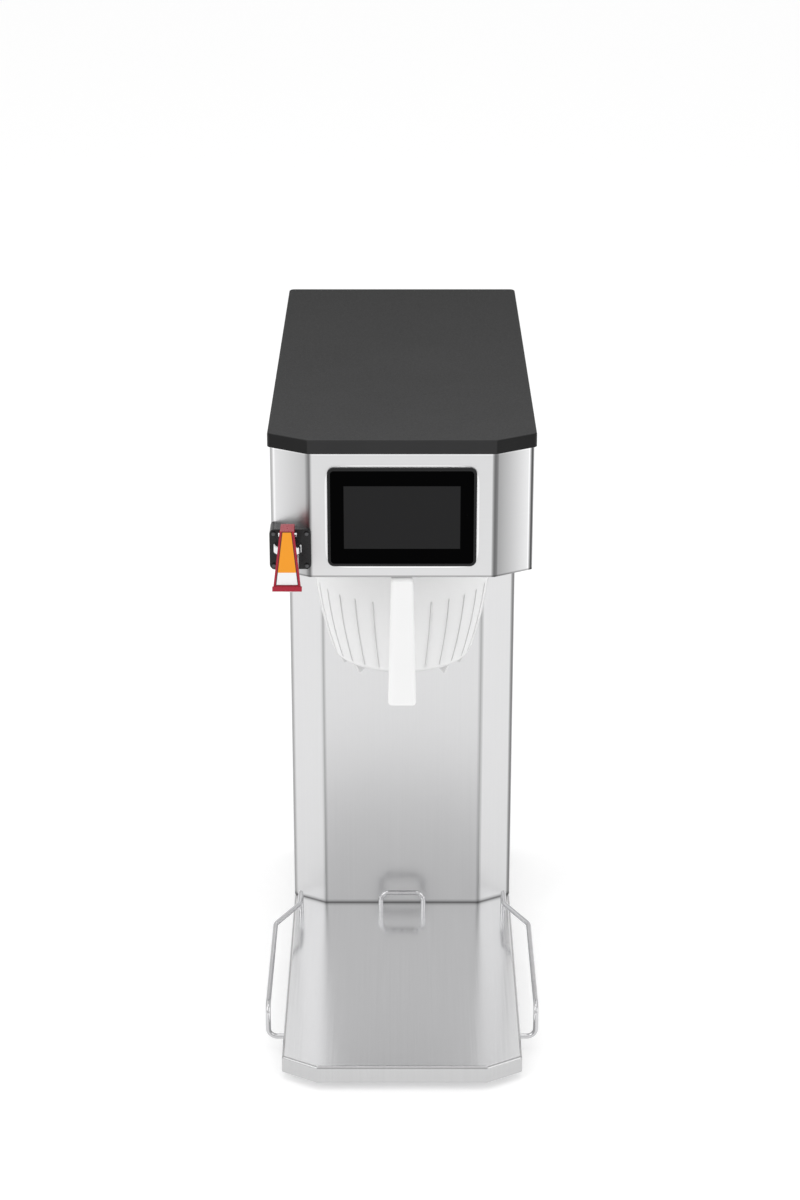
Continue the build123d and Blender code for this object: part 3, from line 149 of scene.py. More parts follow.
# ---- Feet and bottom pan ----------------------------------------------------------------------
# Four turned rubber feet are pushed into holes in a shallow steel pan, which closes the base from
# below. The rubber is dull and dark, the pan is plain mill-finish sheet.
def dress(names, material):
    """Gives frame nodes their finish."""
    for name in names:
        for slot in nodes[name].material_slots:
            slot.material = material


def spread(tree, value, low, high, start=0.3, end=0.7):
    """A value carried from one range to another."""
    move = tree.nodes.new("ShaderNodeMapRange")
    move.inputs["From Min"].default_value = start
    move.inputs["From Max"].default_value = end
    move.inputs["To Min"].default_value = low
    move.inputs["To Max"].default_value = high
    tree.links.new(value, move.inputs["Value"])
    return move.outputs["Result"]


def raised_by(tree, shader, height, distance, strength=1.0):
    """Bump on a surface, from a height between 0 and 1 and a real distance."""
    bump = tree.nodes.new("ShaderNodeBump")
    bump.inputs["Distance"].default_value = distance
    bump.inputs["Strength"].default_value = strength
    tree.links.new(height, bump.inputs["Height"])
    tree.links.new(bump.outputs["Normal"], shader.inputs["Normal"])


def rubber(name, colour):
    """Dull moulded rubber with a fine grain and a little dust."""
    material, tree, shader, place = new_finish(name)
    dust = cloud(tree, place, (160, 160, 160), 5)
    lighter = tuple(min(1.0, 1.6 * c + 0.01) for c in colour)
    tone = between(tree, spread(tree, dust, 0, 1), colour, lighter)
    tree.links.new(tone, shader.inputs["Base Color"])
    tree.links.new(spread(tree, dust, 0.72, 0.9), shader.inputs["Roughness"])
    raised_by(tree, shader, cloud(tree, place, (2200, 2200, 2200)), 0.00012, 0.5)
    return material


def plain_metal(name, colour, rough):
    """Metal with no grain, a little uneven in its polish."""
    material, tree, shader, place = new_finish(name)
    patch = cloud(tree, place, (90, 90, 90), 4)
    darker = tuple(c * 0.92 for c in colour)
    tone = between(tree, spread(tree, patch, 0, 1), darker, colour)
    tree.links.new(tone, shader.inputs["Base Color"])
    tree.links.new(spread(tree, patch, rough * 0.8, rough * 1.25), shader.inputs["Roughness"])
    shader.inputs["Metallic"].default_value = 1.0
    return material


mill_steel = plain_metal("mill_steel", (0.55, 0.55, 0.56), 0.38)
dress(["rubber_feet"], rubber("black_rubber", (0.018, 0.018, 0.02)))
dress(["base_bottom"], mill_steel)


# ---- Base plate -------------------------------------------------------------------------------
# The platform that the dispenser stands on: one sheet of stainless steel, folded down all round and
# brushed from front to back.
def axis_of(tree, vector, axis):
    """One number of a vector: 0 across, 1 back, 2 up."""
    parts = tree.nodes.new("ShaderNodeSeparateXYZ")
    tree.links.new(vector, parts.inputs["Vector"])
    return parts.outputs[axis]


def sum_of(tree, operation, *values):
    """Values put through one operation of arithmetic."""
    node = tree.nodes.new("ShaderNodeMath")
    node.operation = operation
    for socket, value in zip(node.inputs, values):
        if isinstance(value, bpy.types.NodeSocket):
            tree.links.new(value, socket)
        else:
            socket.default_value = value
    return node.outputs[0]


def toned(tree, tone, value, stops):
    """A colour made darker or lighter along a value, which paints shade or highlight on it. Each
    stop is a value and the shade there, which the colour is multiplied by."""
    low, high = stops[0][0], stops[-1][0]
    ramp = tree.nodes.new("ShaderNodeValToRGB")
    ramp.color_ramp.elements.remove(ramp.color_ramp.elements[1])
    for spot, shade in stops:
        stop = ramp.color_ramp.elements.new((spot - low) / (high - low))
        stop.color = (shade, shade, shade, 1)
    ramp.color_ramp.elements.remove(ramp.color_ramp.elements[0])
    tree.links.new(spread(tree, value, 0, 1, low, high), ramp.inputs["Fac"])
    shaded = tree.nodes.new("ShaderNodeMix")
    shaded.data_type = "RGBA"
    shaded.blend_type = "MULTIPLY"
    shaded.inputs["Factor"].default_value = 1.0
    tree.links.new(tone, shaded.inputs[6])
    tree.links.new(ramp.outputs["Color"], shaded.inputs[7])
    return shaded.outputs[2]


def brushed_steel(name, grain, colour=(0.66, 0.66, 0.665), rough=0.26, contrast=0.03,
                  turn_shade=(), band_light_and_shade=()):
    """Stainless sheet with a fine brushed grain. The grain gives the streaks a metre along each
    axis. The turn shade is shade painted on as the surface turns away from one axis, and the band
    light and shade is shade and highlight painted along the width or height, in metres. Each of
    those is an axis and its stops."""
    material, tree, shader, place = new_finish(name)
    streak = cloud(tree, place, grain, 1.5)
    band = cloud(tree, place, tuple(0.12 * g for g in grain), 2)
    darker = tuple(c * (1 - contrast) for c in colour)
    lighter = tuple(min(1.0, c * (1 + contrast)) for c in colour)
    streaked = between(tree, spread(tree, streak, 0, 1), darker, lighter)
    tone = between(tree, spread(tree, band, 0, 0.5), streaked, colour)
    for axis, stops in turn_shade:
        facing = axis_of(tree, place.node.outputs["Normal"], axis)
        tone = toned(tree, tone, sum_of(tree, "ABSOLUTE", facing), stops)
    for axis, stops in band_light_and_shade:
        tone = toned(tree, tone, axis_of(tree, place, axis), stops)
    tree.links.new(tone, shader.inputs["Base Color"])
    tree.links.new(spread(tree, streak, rough - 0.03, rough + 0.04), shader.inputs["Roughness"])
    raised_by(tree, shader, streak, 0.00001, 0.15)
    shader.inputs["Metallic"].default_value = 1.0
    return material


# Painted shade: the folded skirt and the bend at the plate's top edge are darker than its top face,
# set by which way the surface faces.
skirt_painted_shade = (2, ((0.0, 0.63), (0.3, 0.63), (0.5, 0.5), (0.9, 0.55), (0.985, 1.0), (1.0, 1.0)))
bright_steel_and_highlight = (0.86, 0.86, 0.865)
dress(["base_plate"], brushed_steel(
    "base_steel", (700, 6, 6), bright_steel_and_highlight, rough=0.18, contrast=0.025, turn_shade=[skirt_painted_shade]))


# ---- Wires on the base ------------------------------------------------------------------------
# Three bent rods of bright drawn steel: a stop at the foot of the column, and a guide on each side
# that keeps the dispenser in line. Their ends are welded under the plate.
wire_steel = plain_metal("drawn_steel", (0.62, 0.62, 0.63), 0.12)
dress(["rear_stop_wire", "right_guide_wire", "left_guide_wire"], wire_steel)


# ---- Column -----------------------------------------------------------------------------------
# One stainless sheet, bent round the front and sides and open at the back. It is screwed to the
# base below and to the hood above through its inward lips. Shade is painted along its bends and on
# the flats beside them, darker on the right-hand side.
# Painted shade on the bends, set by which way the surface faces. The hood uses it too.
bend_painted_shade = (0, ((0.0, 1.0), (0.05, 0.8), (0.42, 0.8), (0.48, 1.0), (0.54, 1.0), (0.7, 0.8),
                  (0.97, 0.8), (1.0, 1.0)))
# Painted shade along the column's bends and the flats beside them, darker on the right.
column_painted_shade = (0, (
    (-0.12, 1.0), (-0.1078, 1.0), (-0.1076, 0.55), (-0.1055, 0.62), (-0.1048, 1.0),
    (-0.0785, 1.0), (-0.0775, 0.85), (-0.0745, 0.68), (-0.0738, 1.0),
    (0.0735, 1.0), (0.0743, 0.78), (0.0775, 0.7), (0.0785, 1.0),
    (0.1045, 1.0), (0.1052, 0.42), (0.1076, 0.22), (0.1078, 1.0), (0.12, 1.0)))
column_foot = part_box("column_wrap")[0].z
foot_shade = (2, ((column_foot, 0.2), (column_foot + 0.0012, 0.3), (column_foot + 0.0024, 1.0),
                  (column_foot + 0.5, 1.0)))   # painted shade where the column meets the base
upright_grain = (900, 900, 6)
dress(["column_wrap"], brushed_steel(
    "column_steel", upright_grain, rough=0.34, contrast=0.015, turn_shade=[bend_painted_shade],
    band_light_and_shade=[column_painted_shade, foot_shade]))
screw_steel = plain_metal("screw_steel", (0.6, 0.6, 0.61), 0.25)
dress(["body_screws"], screw_steel)


# ---- Hot-water tank ---------------------------------------------------------------------------
# A drawn stainless tank hangs inside the column on a folded shelf. Its lid is screwed down on a
# silicone gasket, and carries the heater, the two probes and the limit thermostat.
def moulded(name, colour, rough=0.45, grain=1500.0, depth=0.00005, gloss=0.5):
    """Moulded plastic with a fine spark-eroded texture."""
    material, tree, shader, place = new_finish(name)
    speck = cloud(tree, place, (grain,) * 3, 4)
    wash = cloud(tree, place, (14, 14, 14), 2)
    lighter = tuple(min(1.0, c * 1.12 + 0.002) for c in colour)
    tone = between(tree, spread(tree, wash, 0, 1), colour, lighter)
    tree.links.new(tone, shader.inputs["Base Color"])
    tree.links.new(spread(tree, speck, rough - 0.05, rough + 0.06), shader.inputs["Roughness"])
    raised_by(tree, shader, speck, depth, 0.5)
    shader.inputs["Specular IOR Level"].default_value = gloss
    return material


silicone = rubber("silicone", (0.62, 0.6, 0.57))
dress(["water_tank", "tank_lid", "tank_shelf"], mill_steel)
dress(["lid_screws"], screw_steel)
dress(["tank_gasket"], silicone)
dress(["heating_element"], plain_metal("heater_sheath", (0.36, 0.35, 0.33), 0.35))
dress(["temperature_probe", "level_probe"], plain_metal("probe_brass", (0.72, 0.55, 0.28), 0.25))
dress(["limit_thermostat"], moulded("thermostat_black", (0.02, 0.02, 0.02)))


# ---- Water ways -------------------------------------------------------------------------------
# Two solenoid valves, with black nylon bodies, send the water to the tank, to the spray head and
# straight down to the dispenser. Milky silicone hoses push over their barbs.
dress(["inlet_valve", "brew_valve"], moulded("valve_nylon", (0.035, 0.035, 0.04), 0.5))
dress(["fill_hose", "dilution_hose", "brew_hose", "faucet_hose"], silicone)
dress(["spray_head", "spray_elbow", "dilution_nozzle"],
      moulded("nozzle_white", (0.74, 0.74, 0.72), 0.4))


# ---- Electrics --------------------------------------------------------------------------------
# A green control board stands on posts on the hood floor. A relay on its aluminium heat sink and a
# terminal block are fixed inside the back.
dress(["control_board"], moulded("board_green", (0.02, 0.12, 0.05), 0.35))
dress(["board_standoffs"], moulded("standoff_nylon", (0.7, 0.7, 0.66), 0.5))
dress(["heater_relay"], plain_metal("heat_sink", (0.6, 0.6, 0.62), 0.35))
dress(["terminal_block"], moulded("terminal_ivory", (0.66, 0.62, 0.52), 0.5))


# ---- Hood floor and basket rails --------------------------------------------------------------
# A flat stainless sheet closes the underside of the hood. Two folded rails are screwed to it, and
# the flange of the brew basket slides in them.
dress(["hood_floor", "basket_rails"], brushed_steel("floor_steel", (6, 700, 700), rough=0.3))
dress(["rail_screws"], screw_steel)


# ---- Hood -------------------------------------------------------------------------------------
# The overhanging head of the machine, bent from one stainless sheet like the column and brushed
# from side to side.
def opened(material):
    """A finish's node tree, its colour socket and the node that places it on the object."""
    tree = material.node_tree
    places = next(node for node in tree.nodes if node.type == "TEX_COORD")
    return tree, tree.nodes["Principled BSDF"].inputs["Base Color"], places


# Painted shade along the hood's bends and the flats beside them, darker on the right, with thin
# painted highlight lines near the outer bends.
hood_painted_shade_and_highlights = (0, (
    (-0.12, 1.0), (-0.1078, 1.0), (-0.1076, 0.6), (-0.1055, 0.8), (-0.105, 1.3),
    (-0.1044, 1.3), (-0.1038, 1.0), (-0.079, 0.72), (-0.0775, 0.4), (-0.0745, 0.36),
    (-0.0738, 1.0), (0.0735, 1.0), (0.0743, 0.36), (0.0775, 0.2), (0.0787, 0.48),
    (0.1032, 1.05), (0.1038, 1.3), (0.1046, 1.3), (0.1053, 0.15), (0.1076, 0.1),
    (0.1078, 1.0), (0.12, 1.0)))
hood_low, hood_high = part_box("hood_wrap")
# A painted shade line along the hood's bottom edge and a painted highlight along its top edge.
hood_edge_shade_and_highlight = (2, ((hood_low.z, 0.55), (hood_low.z + 0.0012, 0.55), (hood_low.z + 0.0016, 1.0),
                  (hood_high.z - 0.0018, 1.0), (hood_high.z - 0.0014, 1.2), (hood_high.z, 1.2)))
hood_steel = brushed_steel("hood_steel", (6, 6, 900), rough=0.36, contrast=0.012,
                           turn_shade=[bend_painted_shade], band_light_and_shade=[hood_painted_shade_and_highlights, hood_edge_shade_and_highlight])
dress(["hood_wrap"], hood_steel)

cut_highlight_width = 0.0019                 # width of the painted highlight round the screen's cut-out
cut_squareness = 9.0              # the higher, the sharper the cut-out's corners
tree, tone_socket, places = opened(hood_steel)
place = places.outputs["Object"]
bezel_low, bezel_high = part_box("display_bezel")
reach = 0
for axis in (0, 2):
    centre = (bezel_low[axis] + bezel_high[axis]) / 2
    half = (bezel_high[axis] - bezel_low[axis]) / 2 + cut_highlight_width
    offset = sum_of(tree, "SUBTRACT", axis_of(tree, place, axis), centre)
    share = sum_of(tree, "ABSOLUTE", sum_of(tree, "DIVIDE", offset, half))
    reach = sum_of(tree, "ADD", reach, sum_of(tree, "POWER", share, cut_squareness))
# A painted highlight: a ring of bright steel colour on the hood round the screen's cut-out. The
# same colour is the base plate's steel.
plain_tone = tone_socket.links[0].from_socket
in_highlight_ring = sum_of(tree, "LESS_THAN", reach, 1.0)
tree.links.new(between(tree, in_highlight_ring, plain_tone, bright_steel_and_highlight), tone_socket)


# ---- Rear panel -------------------------------------------------------------------------------
# A flat stainless panel with a bank of slots for air, screwed on to the return flanges of the
# column and hood.
dress(["rear_panel"], brushed_steel("rear_steel", upright_grain, rough=0.28))
dress(["rear_screws"], screw_steel)


# ---- Water inlet, cable gland and power switch ------------------------------------------------
# What the rear panel carries: a brass flare fitting, a black nylon gland for the supply cable and
# a rocker switch in its frame.
dress(["inlet_fitting"], plain_metal("fitting_brass", (0.72, 0.53, 0.24), 0.22))
dress(["cable_gland"], moulded("gland_nylon", (0.02, 0.02, 0.02), 0.45))
dress(["power_switch"], moulded("switch_black", (0.02, 0.02, 0.02), 0.4))
dress(["power_rocker"], moulded("rocker_black", (0.03, 0.03, 0.03), 0.25))


# ---- Touch screen -----------------------------------------------------------------------------
# A moulded black bezel clips into the hood's front. Behind its rim lies one black glass, through
# which the unlit screen shows as a slightly paler rectangle.
screen_half_width = 0.0475
screen_half_height = 0.027


def within(tree, place, axis, centre, half):
    """1 where a point lies within a distance of a centre along one axis, and 0 elsewhere."""
    return sum_of(tree, "COMPARE", axis_of(tree, place, axis), centre, half)


glass, tree, shader, place = new_finish("black_glass")
glass_low, glass_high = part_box("display_glass")
glass_middle = (glass_low + glass_high) / 2
panel = sum_of(tree, "MULTIPLY", within(tree, place, 0, glass_middle.x, screen_half_width),
               within(tree, place, 2, glass_middle.z, screen_half_height))
tree.links.new(between(tree, panel, (0.0008, 0.0008, 0.0009), (0.019, 0.019, 0.0195)),
               shader.inputs["Base Color"])
smear = cloud(tree, place, (30, 30, 30), 4)
tree.links.new(spread(tree, smear, 0.04, 0.1), shader.inputs["Roughness"])
shader.inputs["Specular IOR Level"].default_value = 0.01
dress(["display_glass"], glass)
dress(["display_bezel"], moulded("bezel_black", (0.011, 0.011, 0.0115), 0.35, gloss=0.15))
dress(["display_module"], moulded("module_grey", (0.2, 0.2, 0.21), 0.5))
dress(["display_screws"], screw_steel)


# ---- Top cover --------------------------------------------------------------------------------
# A lid of black moulded plastic that overhangs the hood a little, with a fine matt texture and
# rounded edges.
cover_black = moulded("cover_black", (0.024, 0.024, 0.0245), 0.5, 1100.0, 0.00004, 0.12)
cover_low, cover_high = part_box("top_cover")
# Painted shade: the cover grows darker towards its back, and its chamfered sides are darker than
# its top and front.
cover_painted_shade_to_back = ((cover_low.y, 1.0), (cover_low.y + 0.1, 0.8), (cover_high.y, 0.15))
cover_chamfer_painted_shade = ((0.0, 1.0), (0.2, 1.0), (0.4, 0.4), (0.65, 0.4), (0.85, 1.0), (1.0, 1.0))
tree, tone_socket, places = opened(cover_black)
depth = axis_of(tree, places.outputs["Object"], 1)
facing = sum_of(tree, "ABSOLUTE", axis_of(tree, places.outputs["Normal"], 0))
tone = toned(tree, tone_socket.links[0].from_socket, depth, cover_painted_shade_to_back)
tree.links.new(toned(tree, tone, facing, cover_chamfer_painted_shade), tone_socket)
dress(["top_cover"], cover_black)


# ---- Faucet mount and body --------------------------------------------------------------------
# A charcoal plastic wedge squares the faucet to the front on the cut-back corner. Four small screws
# hold it. The faucet is chromed brass, held by a nut inside the hood.
chrome = plain_metal("chrome", (0.82, 0.82, 0.83), 0.07)
dress(["faucet_mount"], moulded("mount_charcoal", (0.014, 0.014, 0.015), 0.3, gloss=0.25))
dress(["faucet_mount_screws"], plain_metal("blackened_screw", (0.1, 0.1, 0.105), 0.3))
dress(["faucet_body", "faucet_bonnet", "faucet_stem", "lever_pin"], chrome)
dress(["faucet_nut"], plain_metal("nut_brass", (0.7, 0.52, 0.25), 0.3))
dress(["seat_cup"], silicone)
dress(["faucet_spring"], wire_steel)


# ---- Faucet lever -----------------------------------------------------------------------------
# A crimson moulded lever on a chromed pin. A thin insert is pressed into its face, orange above
# and white below, with shade painted all round its edge where it sits in its recess.
inlay_shade_width = 0.0006
inlay_split = 0.76                # share of the insert that is orange
inlay_top_half = 0.0040           # half of its width at the top
inlay_orange = (0.8, 0.29, 0.004)
inlay_white = (0.8, 0.8, 0.8)
inlay_recess_shade = (0.03, 0.004, 0.006)
lever_stretch = 1.074             # blade's length against the plain solid's
lever_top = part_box("faucet_handle")[1].z
inlay_low, inlay_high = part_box("handle_inlay")


def lengthened(name, node, material):
    """A piece in a node's place, drawn longer below the lever's top."""
    mesh = nodes[node].data.copy()
    for point in mesh.vertices:
        point.co.z = lever_top - (lever_top - point.co.z) * lever_stretch
    piece = bpy.data.objects.new(name, mesh)
    mesh.materials.clear()
    mesh.materials.append(material)
    bpy.context.collection.objects.link(piece)
    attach(piece, "lever")
    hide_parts(node)
    return piece


for corner in (inlay_low, inlay_high):
    corner.z = lever_top - (lever_top - corner.z) * lever_stretch
lever_crimson = moulded("lever_crimson", (0.32, 0.008, 0.025), 0.3, 700.0, 0.00003, 0.4)
lengthened("lever_blade", "faucet_handle", lever_crimson)

insert, tree, shader, place = new_finish("lever_insert")
inlay_x = (inlay_low.x + inlay_high.x) / 2
inlay_z = (inlay_low.z + inlay_high.z) / 2
inlay_foot_half = (inlay_high.x - inlay_low.x) / 2
inlay_height = inlay_high.z - inlay_low.z
height = axis_of(tree, place, 2)
half_there = spread(tree, height, inlay_foot_half - inlay_shade_width, inlay_top_half - inlay_shade_width,
                    inlay_low.z, inlay_high.z)
from_middle = sum_of(tree, "ABSOLUTE", sum_of(tree, "SUBTRACT", axis_of(tree, place, 0), inlay_x))
inside = sum_of(tree, "MULTIPLY", sum_of(tree, "LESS_THAN", from_middle, half_there),
                within(tree, place, 2, inlay_z, inlay_height / 2 - inlay_shade_width))
above = sum_of(tree, "GREATER_THAN", height, inlay_high.z - inlay_split * inlay_height)
field = between(tree, above, inlay_white, inlay_orange)
# The insert's rim is painted shade that stands in for its recess.
tree.links.new(between(tree, inside, inlay_recess_shade, field), shader.inputs["Base Color"])
speck = cloud(tree, place, (400, 400, 400))
tree.links.new(spread(tree, speck, 0.3, 0.4), shader.inputs["Roughness"])
lengthened("lever_inlay", "handle_inlay", insert)


# ---- Brew basket ------------------------------------------------------------------------------
# A deep bowl of milky white polypropylene with fine upright ribs, standing fins and a wide flange.
# Its grip is a brighter white. A wire insert inside holds the paper filter off the wall.
def milky(name, colour, rough, glow):
    """White plastic that lets light into its surface."""
    material, tree, shader, place = new_finish(name)
    wash = cloud(tree, place, (25, 25, 25), 3)
    darker = tuple(c * 0.99 for c in colour)
    tone = between(tree, spread(tree, wash, 0, 1), darker, colour)
    tree.links.new(tone, shader.inputs["Base Color"])
    tree.links.new(spread(tree, wash, rough - 0.01, rough + 0.01), shader.inputs["Roughness"])
    shader.inputs["Specular IOR Level"].default_value = 0.3
    raised_by(tree, shader, cloud(tree, place, (900, 900, 900)), 0.00003, 0.3)
    shader.inputs["Subsurface Weight"].default_value = glow
    shader.inputs["Subsurface Radius"].default_value = (1.0, 1.0, 1.0)
    shader.inputs["Subsurface Scale"].default_value = 0.006
    return material


def skin(rings, closed):
    """Points and faces over a row of rings, joined end to end or capped at both ends."""
    around = len(rings[0])
    faces = []
    for row in range(len(rings) if closed else len(rings) - 1):
        here, there = row * around, (row + 1) % len(rings) * around
        for spot in range(around):
            beside = (spot + 1) % around
            faces.append((here + spot, here + beside, there + beside, there + spot))
    points = [point for ring in rings for point in ring]
    if not closed:
        faces += [range(around), range(len(points) - around, len(points))]
    return points, faces


def moulding(name, skins, material, body, node, sharp=35.0):
    """One piece made of closed skins. It takes the place of a node and rides on its body."""
    form = bmesh.new()
    for points, faces in skins:
        corners = [form.verts.new(point) for point in points]
        for face in faces:
            form.faces.new([corners[index] for index in face]).smooth = True
    bmesh.ops.recalc_face_normals(form, faces=form.faces)
    for edge in form.edges:
        edge.smooth = edge.calc_face_angle(math.pi) < math.radians(sharp)
    mesh = bpy.data.meshes.new(name)
    form.to_mesh(mesh)
    form.free()
    piece = bpy.data.objects.new(name, mesh)
    piece.data.materials.append(material)
    bpy.context.collection.objects.link(piece)
    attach(piece, body)
    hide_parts(node)
    return piece


def bowed(start, corner, end, steps):
    """Points on a smooth turn from a start to an end round a corner."""
    shares = [step / steps for step in range(steps + 1)]
    return [tuple(a * (1 - t) ** 2 + 2 * b * t * (1 - t) + c * t * t
                  for a, b, c in zip(start, corner, end)) for t in shares]


mouth_radius = 0.0785             # outside, under the flange
foot_radius = 0.060
bowl_depth = 0.1155               # underside of the flange to the bottom edge
wall_swell = 0.0054
bowl_wall = 0.0025
foot_round = 0.0037
wall_steps = 22
foot_steps = 5
lip_rise = 0.0002                 # the wall's inner edge above the flange
floor_fall = math.tan(math.radians(8.0))
outlet_radius = 0.008
outlet_bore = 0.005
outlet_length = 0.0015
flange_thick = 0.004
flange_corner = 0.026
flange_edge = 0.0008
flange_corner_steps = 12
basket_low, basket_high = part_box("brew_basket")
basket_y = (basket_low.y + basket_high.y) / 2
flange_top = basket_high.z
flange_under = flange_top - flange_thick


def wall_radius(drop, inset=0.0):
    """Radius of the bowl's wall at a drop under the flange."""
    share = drop / bowl_depth
    straight = mouth_radius + (foot_radius - mouth_radius) * share
    return straight + 4 * wall_swell * share * (1 - share) - inset


def half_section(inset):
    """The wall from its top, round the foot and down the floor to the outlet."""
    depth = bowl_depth - inset
    turn_start = depth - foot_round
    wall = [(wall_radius(turn_start * step / wall_steps, inset), -turn_start * step / wall_steps)
            for step in range(wall_steps)]
    corner = (foot_radius - inset, -depth)
    inward = (corner[0] - foot_round, corner[1] - foot_round * floor_fall)
    foot = bowed((wall_radius(turn_start, inset), -turn_start), corner, inward, foot_steps)
    return wall + foot


def turned(section, steps=120):
    """Rings of a section round the basket's axis."""
    return [[(radius * math.cos(2 * math.pi * step / steps),
              basket_y + radius * math.sin(2 * math.pi * step / steps), flange_under + height)
             for step in range(steps)] for radius, height in section]


outlet_height = -bowl_depth - (foot_radius - outlet_radius) * floor_fall
bowl_section = ([(mouth_radius, flange_thick / 2)] + half_section(0.0)
                + [(outlet_radius, outlet_height),
                   (outlet_radius, outlet_height - outlet_length),
                   (outlet_bore, outlet_height - outlet_length),
                   (outlet_bore, outlet_height + bowl_wall)]
                + half_section(bowl_wall)[::-1]
                + [(mouth_radius - bowl_wall, flange_thick + lip_rise),
                   (mouth_radius - 0.4 * bowl_wall, flange_thick)])


def rounded_ring(half_width, front, back, corner, height, steps=5):
    """A ring of points round a rectangle with rounded corners, at one height."""
    ring = []
    middle, reach = (front + back) / 2, (back - front) / 2
    for quarter, (side, end) in enumerate(((1, 1), (-1, 1), (-1, -1), (1, -1))):
        for step in range(steps + 1):
            angle = math.radians(90 * (quarter + step / steps))
            ring.append((side * (half_width - corner) + corner * math.cos(angle),
                         middle + end * (reach - corner) + corner * math.sin(angle), height))
    return ring


def flange_rings():
    """The flange's rim with its edges taken off, and the hole that the bowl hangs in."""
    half, front, back = basket_high.x, basket_low.y, basket_high.y
    rim = ((flange_edge, 0), (0, flange_edge), (0, flange_thick - flange_edge),
           (flange_edge, flange_thick))
    rings = [rounded_ring(half - inset, front + inset, back - inset, flange_corner - inset,
                          flange_under + height, flange_corner_steps) for inset, height in rim]
    hole = mouth_radius - bowl_wall / 2
    for height in (flange_thick, 0):
        ring = []
        for x, y, _ in rings[0]:
            share = hole / math.hypot(x, y - basket_y)
            ring.append((x * share, basket_y + (y - basket_y) * share, flange_under + height))
        rings.append(ring)
    return rings


rib_count = 28
rib_width = 0.0011
rib_proud = 0.0007
rib_top_drop = 0.044              # under the flange
rib_fade = 0.002                  # height over which its top rises from the wall
rib_start = 0.0001                # how proud its very top is
nose_round = 0.0003               # taken off a web's outer corners


def upright(profile, width, angle):
    """Rings of a thin upright web, from its drops and its inner and outer radii."""
    along = Vector((math.cos(angle), math.sin(angle), 0))
    aside = Vector((-math.sin(angle), math.cos(angle), 0)) * width / 2
    rings = []
    for drop, inner, outer in profile:
        centre = Vector((0, basket_y, flange_under - drop))
        nose = min(nose_round, 0.4 * (outer - inner))
        outline = ((inner, -1), (outer - nose, -1), (outer, -0.4),
                   (outer, 0.4), (outer - nose, 1), (inner, 1))
        rings.append([tuple(centre + along * radius + aside * share) for radius, share in outline])
    return rings


rib_low_drop = bowl_depth - foot_round - rib_width
rib_steps = 12
rib_profile = [(rib_top_drop, wall_radius(rib_top_drop, bowl_wall / 2),
                wall_radius(rib_top_drop) + rib_start)]
for step in range(rib_steps + 1):
    run = rib_low_drop - rib_top_drop - rib_fade
    drop = rib_top_drop + rib_fade + run * step / rib_steps
    rib_profile.append((drop, wall_radius(drop, bowl_wall / 2), wall_radius(drop) + rib_proud))
ribs = [upright(rib_profile, rib_width, 2 * math.pi * (step + 0.5) / rib_count)
        for step in range(rib_count)]

fin_count = 10                    # the two places behind the grip have none
fin_pitch = math.radians(30.0)
fin_thick = 0.0024
fin_shape = (                     # drop under the bottom edge, then inner and outer radius
    (-0.001, 0.0560, 0.0565), (0.0, 0.0500, 0.0585), (0.0022, 0.0400, 0.0573),
    (0.0045, 0.0440, 0.0560), (0.009, 0.0532, 0.0537))
fin_profile = [(bowl_depth + drop, inner, outer) for drop, inner, outer in fin_shape]
fins = [upright(fin_profile, fin_thick, math.pi / 2 + fin_pitch * (step - (fin_count - 1) / 2))
        for step in range(fin_count)]

milky_plastic = milky("milky_plastic", (0.78, 0.78, 0.78), 0.36, 0.5)
tree, tone_socket, places = opened(milky_plastic)
foot_height = flange_under - bowl_depth
# Painted shade: the bowl and its fins grow darker towards the bottom edge.
bowl_foot_painted_shade = ((foot_height - 0.01, 0.72), (foot_height + 0.001, 0.78),
              (foot_height + 0.004, 1.0), (flange_top, 1.0))
tree.links.new(toned(tree, tone_socket.links[0].from_socket,
                     axis_of(tree, places.outputs["Object"], 2), bowl_foot_painted_shade), tone_socket)
bowl_skins = [skin(turned(bowl_section), True), skin(flange_rings(), True)]
bowl_skins += [skin(web, False) for web in ribs + fins]
bowl = moulding("brew_bowl", bowl_skins, milky_plastic, "basket", "brew_basket")
dress(["filter_insert"], wire_steel)


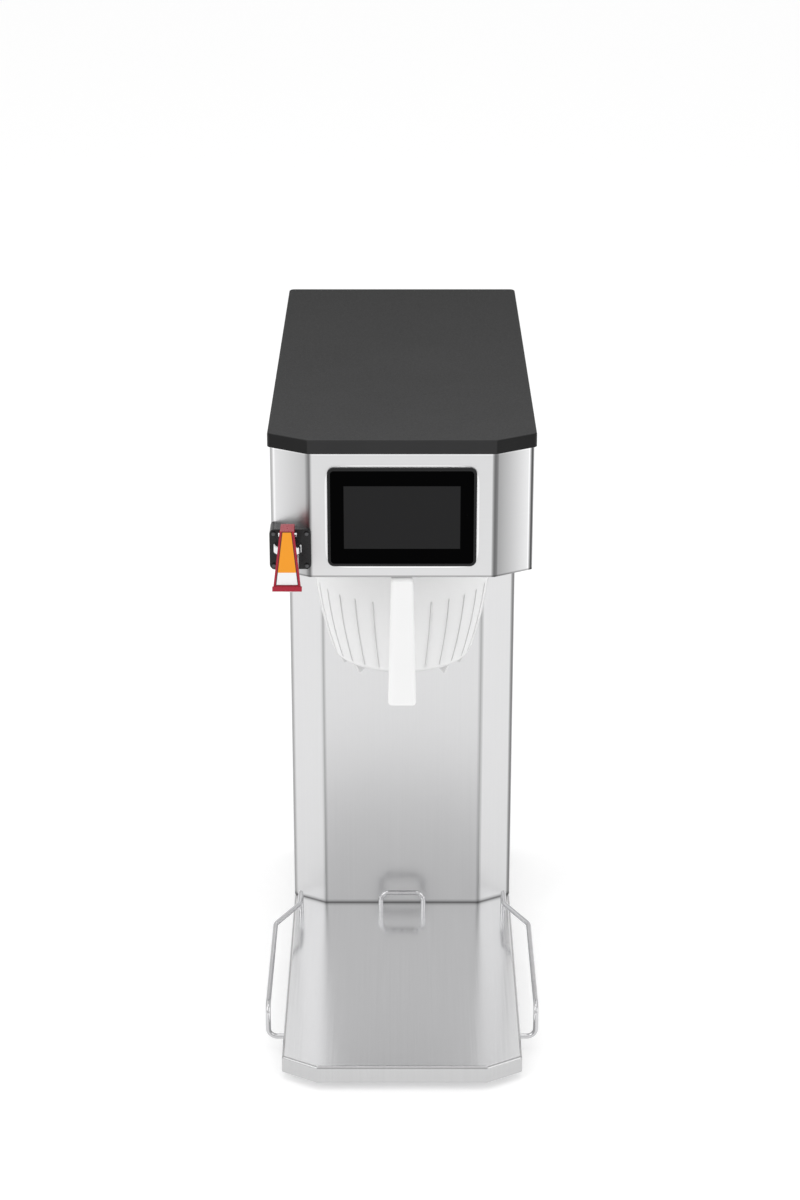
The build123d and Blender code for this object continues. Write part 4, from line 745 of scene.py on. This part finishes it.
# ---- Basket grip ------------------------------------------------------------------------------
# A tapered handle of the same plastic in a brighter white. It hangs from the flange
# on a short arm, and its top slopes back under the hood's front edge.
grip_top_width = 0.0184
grip_bottom_width = 0.0235
grip_depth = 0.016
grip_corner = 0.0035
grip_foot_round = 0.0031
grip_slope = 0.0032               # rise and run of the sloping top
arm_width = 0.014
arm_height = 0.011
arm_lap = 0.005                   # how far it runs in under the flange
arm_sink = 0.0002                 # its top inside the flange's underside
arm_edge = 0.001
grip_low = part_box("basket_grip")[0]
grip_front = grip_low.y
grip_shoulder = hood_low.z - 0.0034


def grip_ring(height, inset=0.0, lean=0.0):
    """One ring of the grip, drawn in by an inset and with its face set back."""
    share = (height - grip_low.z) / (grip_shoulder - grip_low.z)
    half = (grip_bottom_width + (grip_top_width - grip_bottom_width) * share) / 2 - inset
    corner = max(0.0006, grip_corner - inset)
    return rounded_ring(half, grip_front + inset + lean, grip_front + grip_depth - inset, corner,
                        height)


foot_turns = [math.radians(18 * step) for step in range(6)]
grip_rings = [grip_ring(grip_low.z + grip_foot_round * (1 - math.sin(turn)),
                        grip_foot_round * (1 - math.cos(turn))) for turn in foot_turns[::-1]]
grip_rings += [grip_ring(grip_shoulder - drop) for drop in (0.0012, 0.0005)]
grip_rings += [grip_ring(grip_shoulder, 0.0003),
               grip_ring(grip_shoulder + grip_slope, 0.0008, grip_slope)]
arm_half = arm_width / 2
arm_low = flange_top - arm_height
arm_under = flange_under + arm_sink
arm_rings = []
for y, top in ((grip_front + grip_depth / 2, flange_top), (basket_low.y - 0.0001, flange_top),
               (basket_low.y, arm_under), (basket_low.y + arm_lap, arm_under)):
    arm_rings.append([(x, y, z) for x, z in (
        (-arm_half, arm_low + arm_edge), (-arm_half + arm_edge, arm_low),
        (arm_half - arm_edge, arm_low), (arm_half, arm_low + arm_edge),
        (arm_half, top), (-arm_half, top))])
grip_white = milky("grip_white", (0.81, 0.81, 0.81), 0.3, 0.3)
grip = moulding("brew_grip", [skin(grip_rings, False), skin(arm_rings, False)], grip_white,
                "basket", "basket_grip", sharp=50.0)
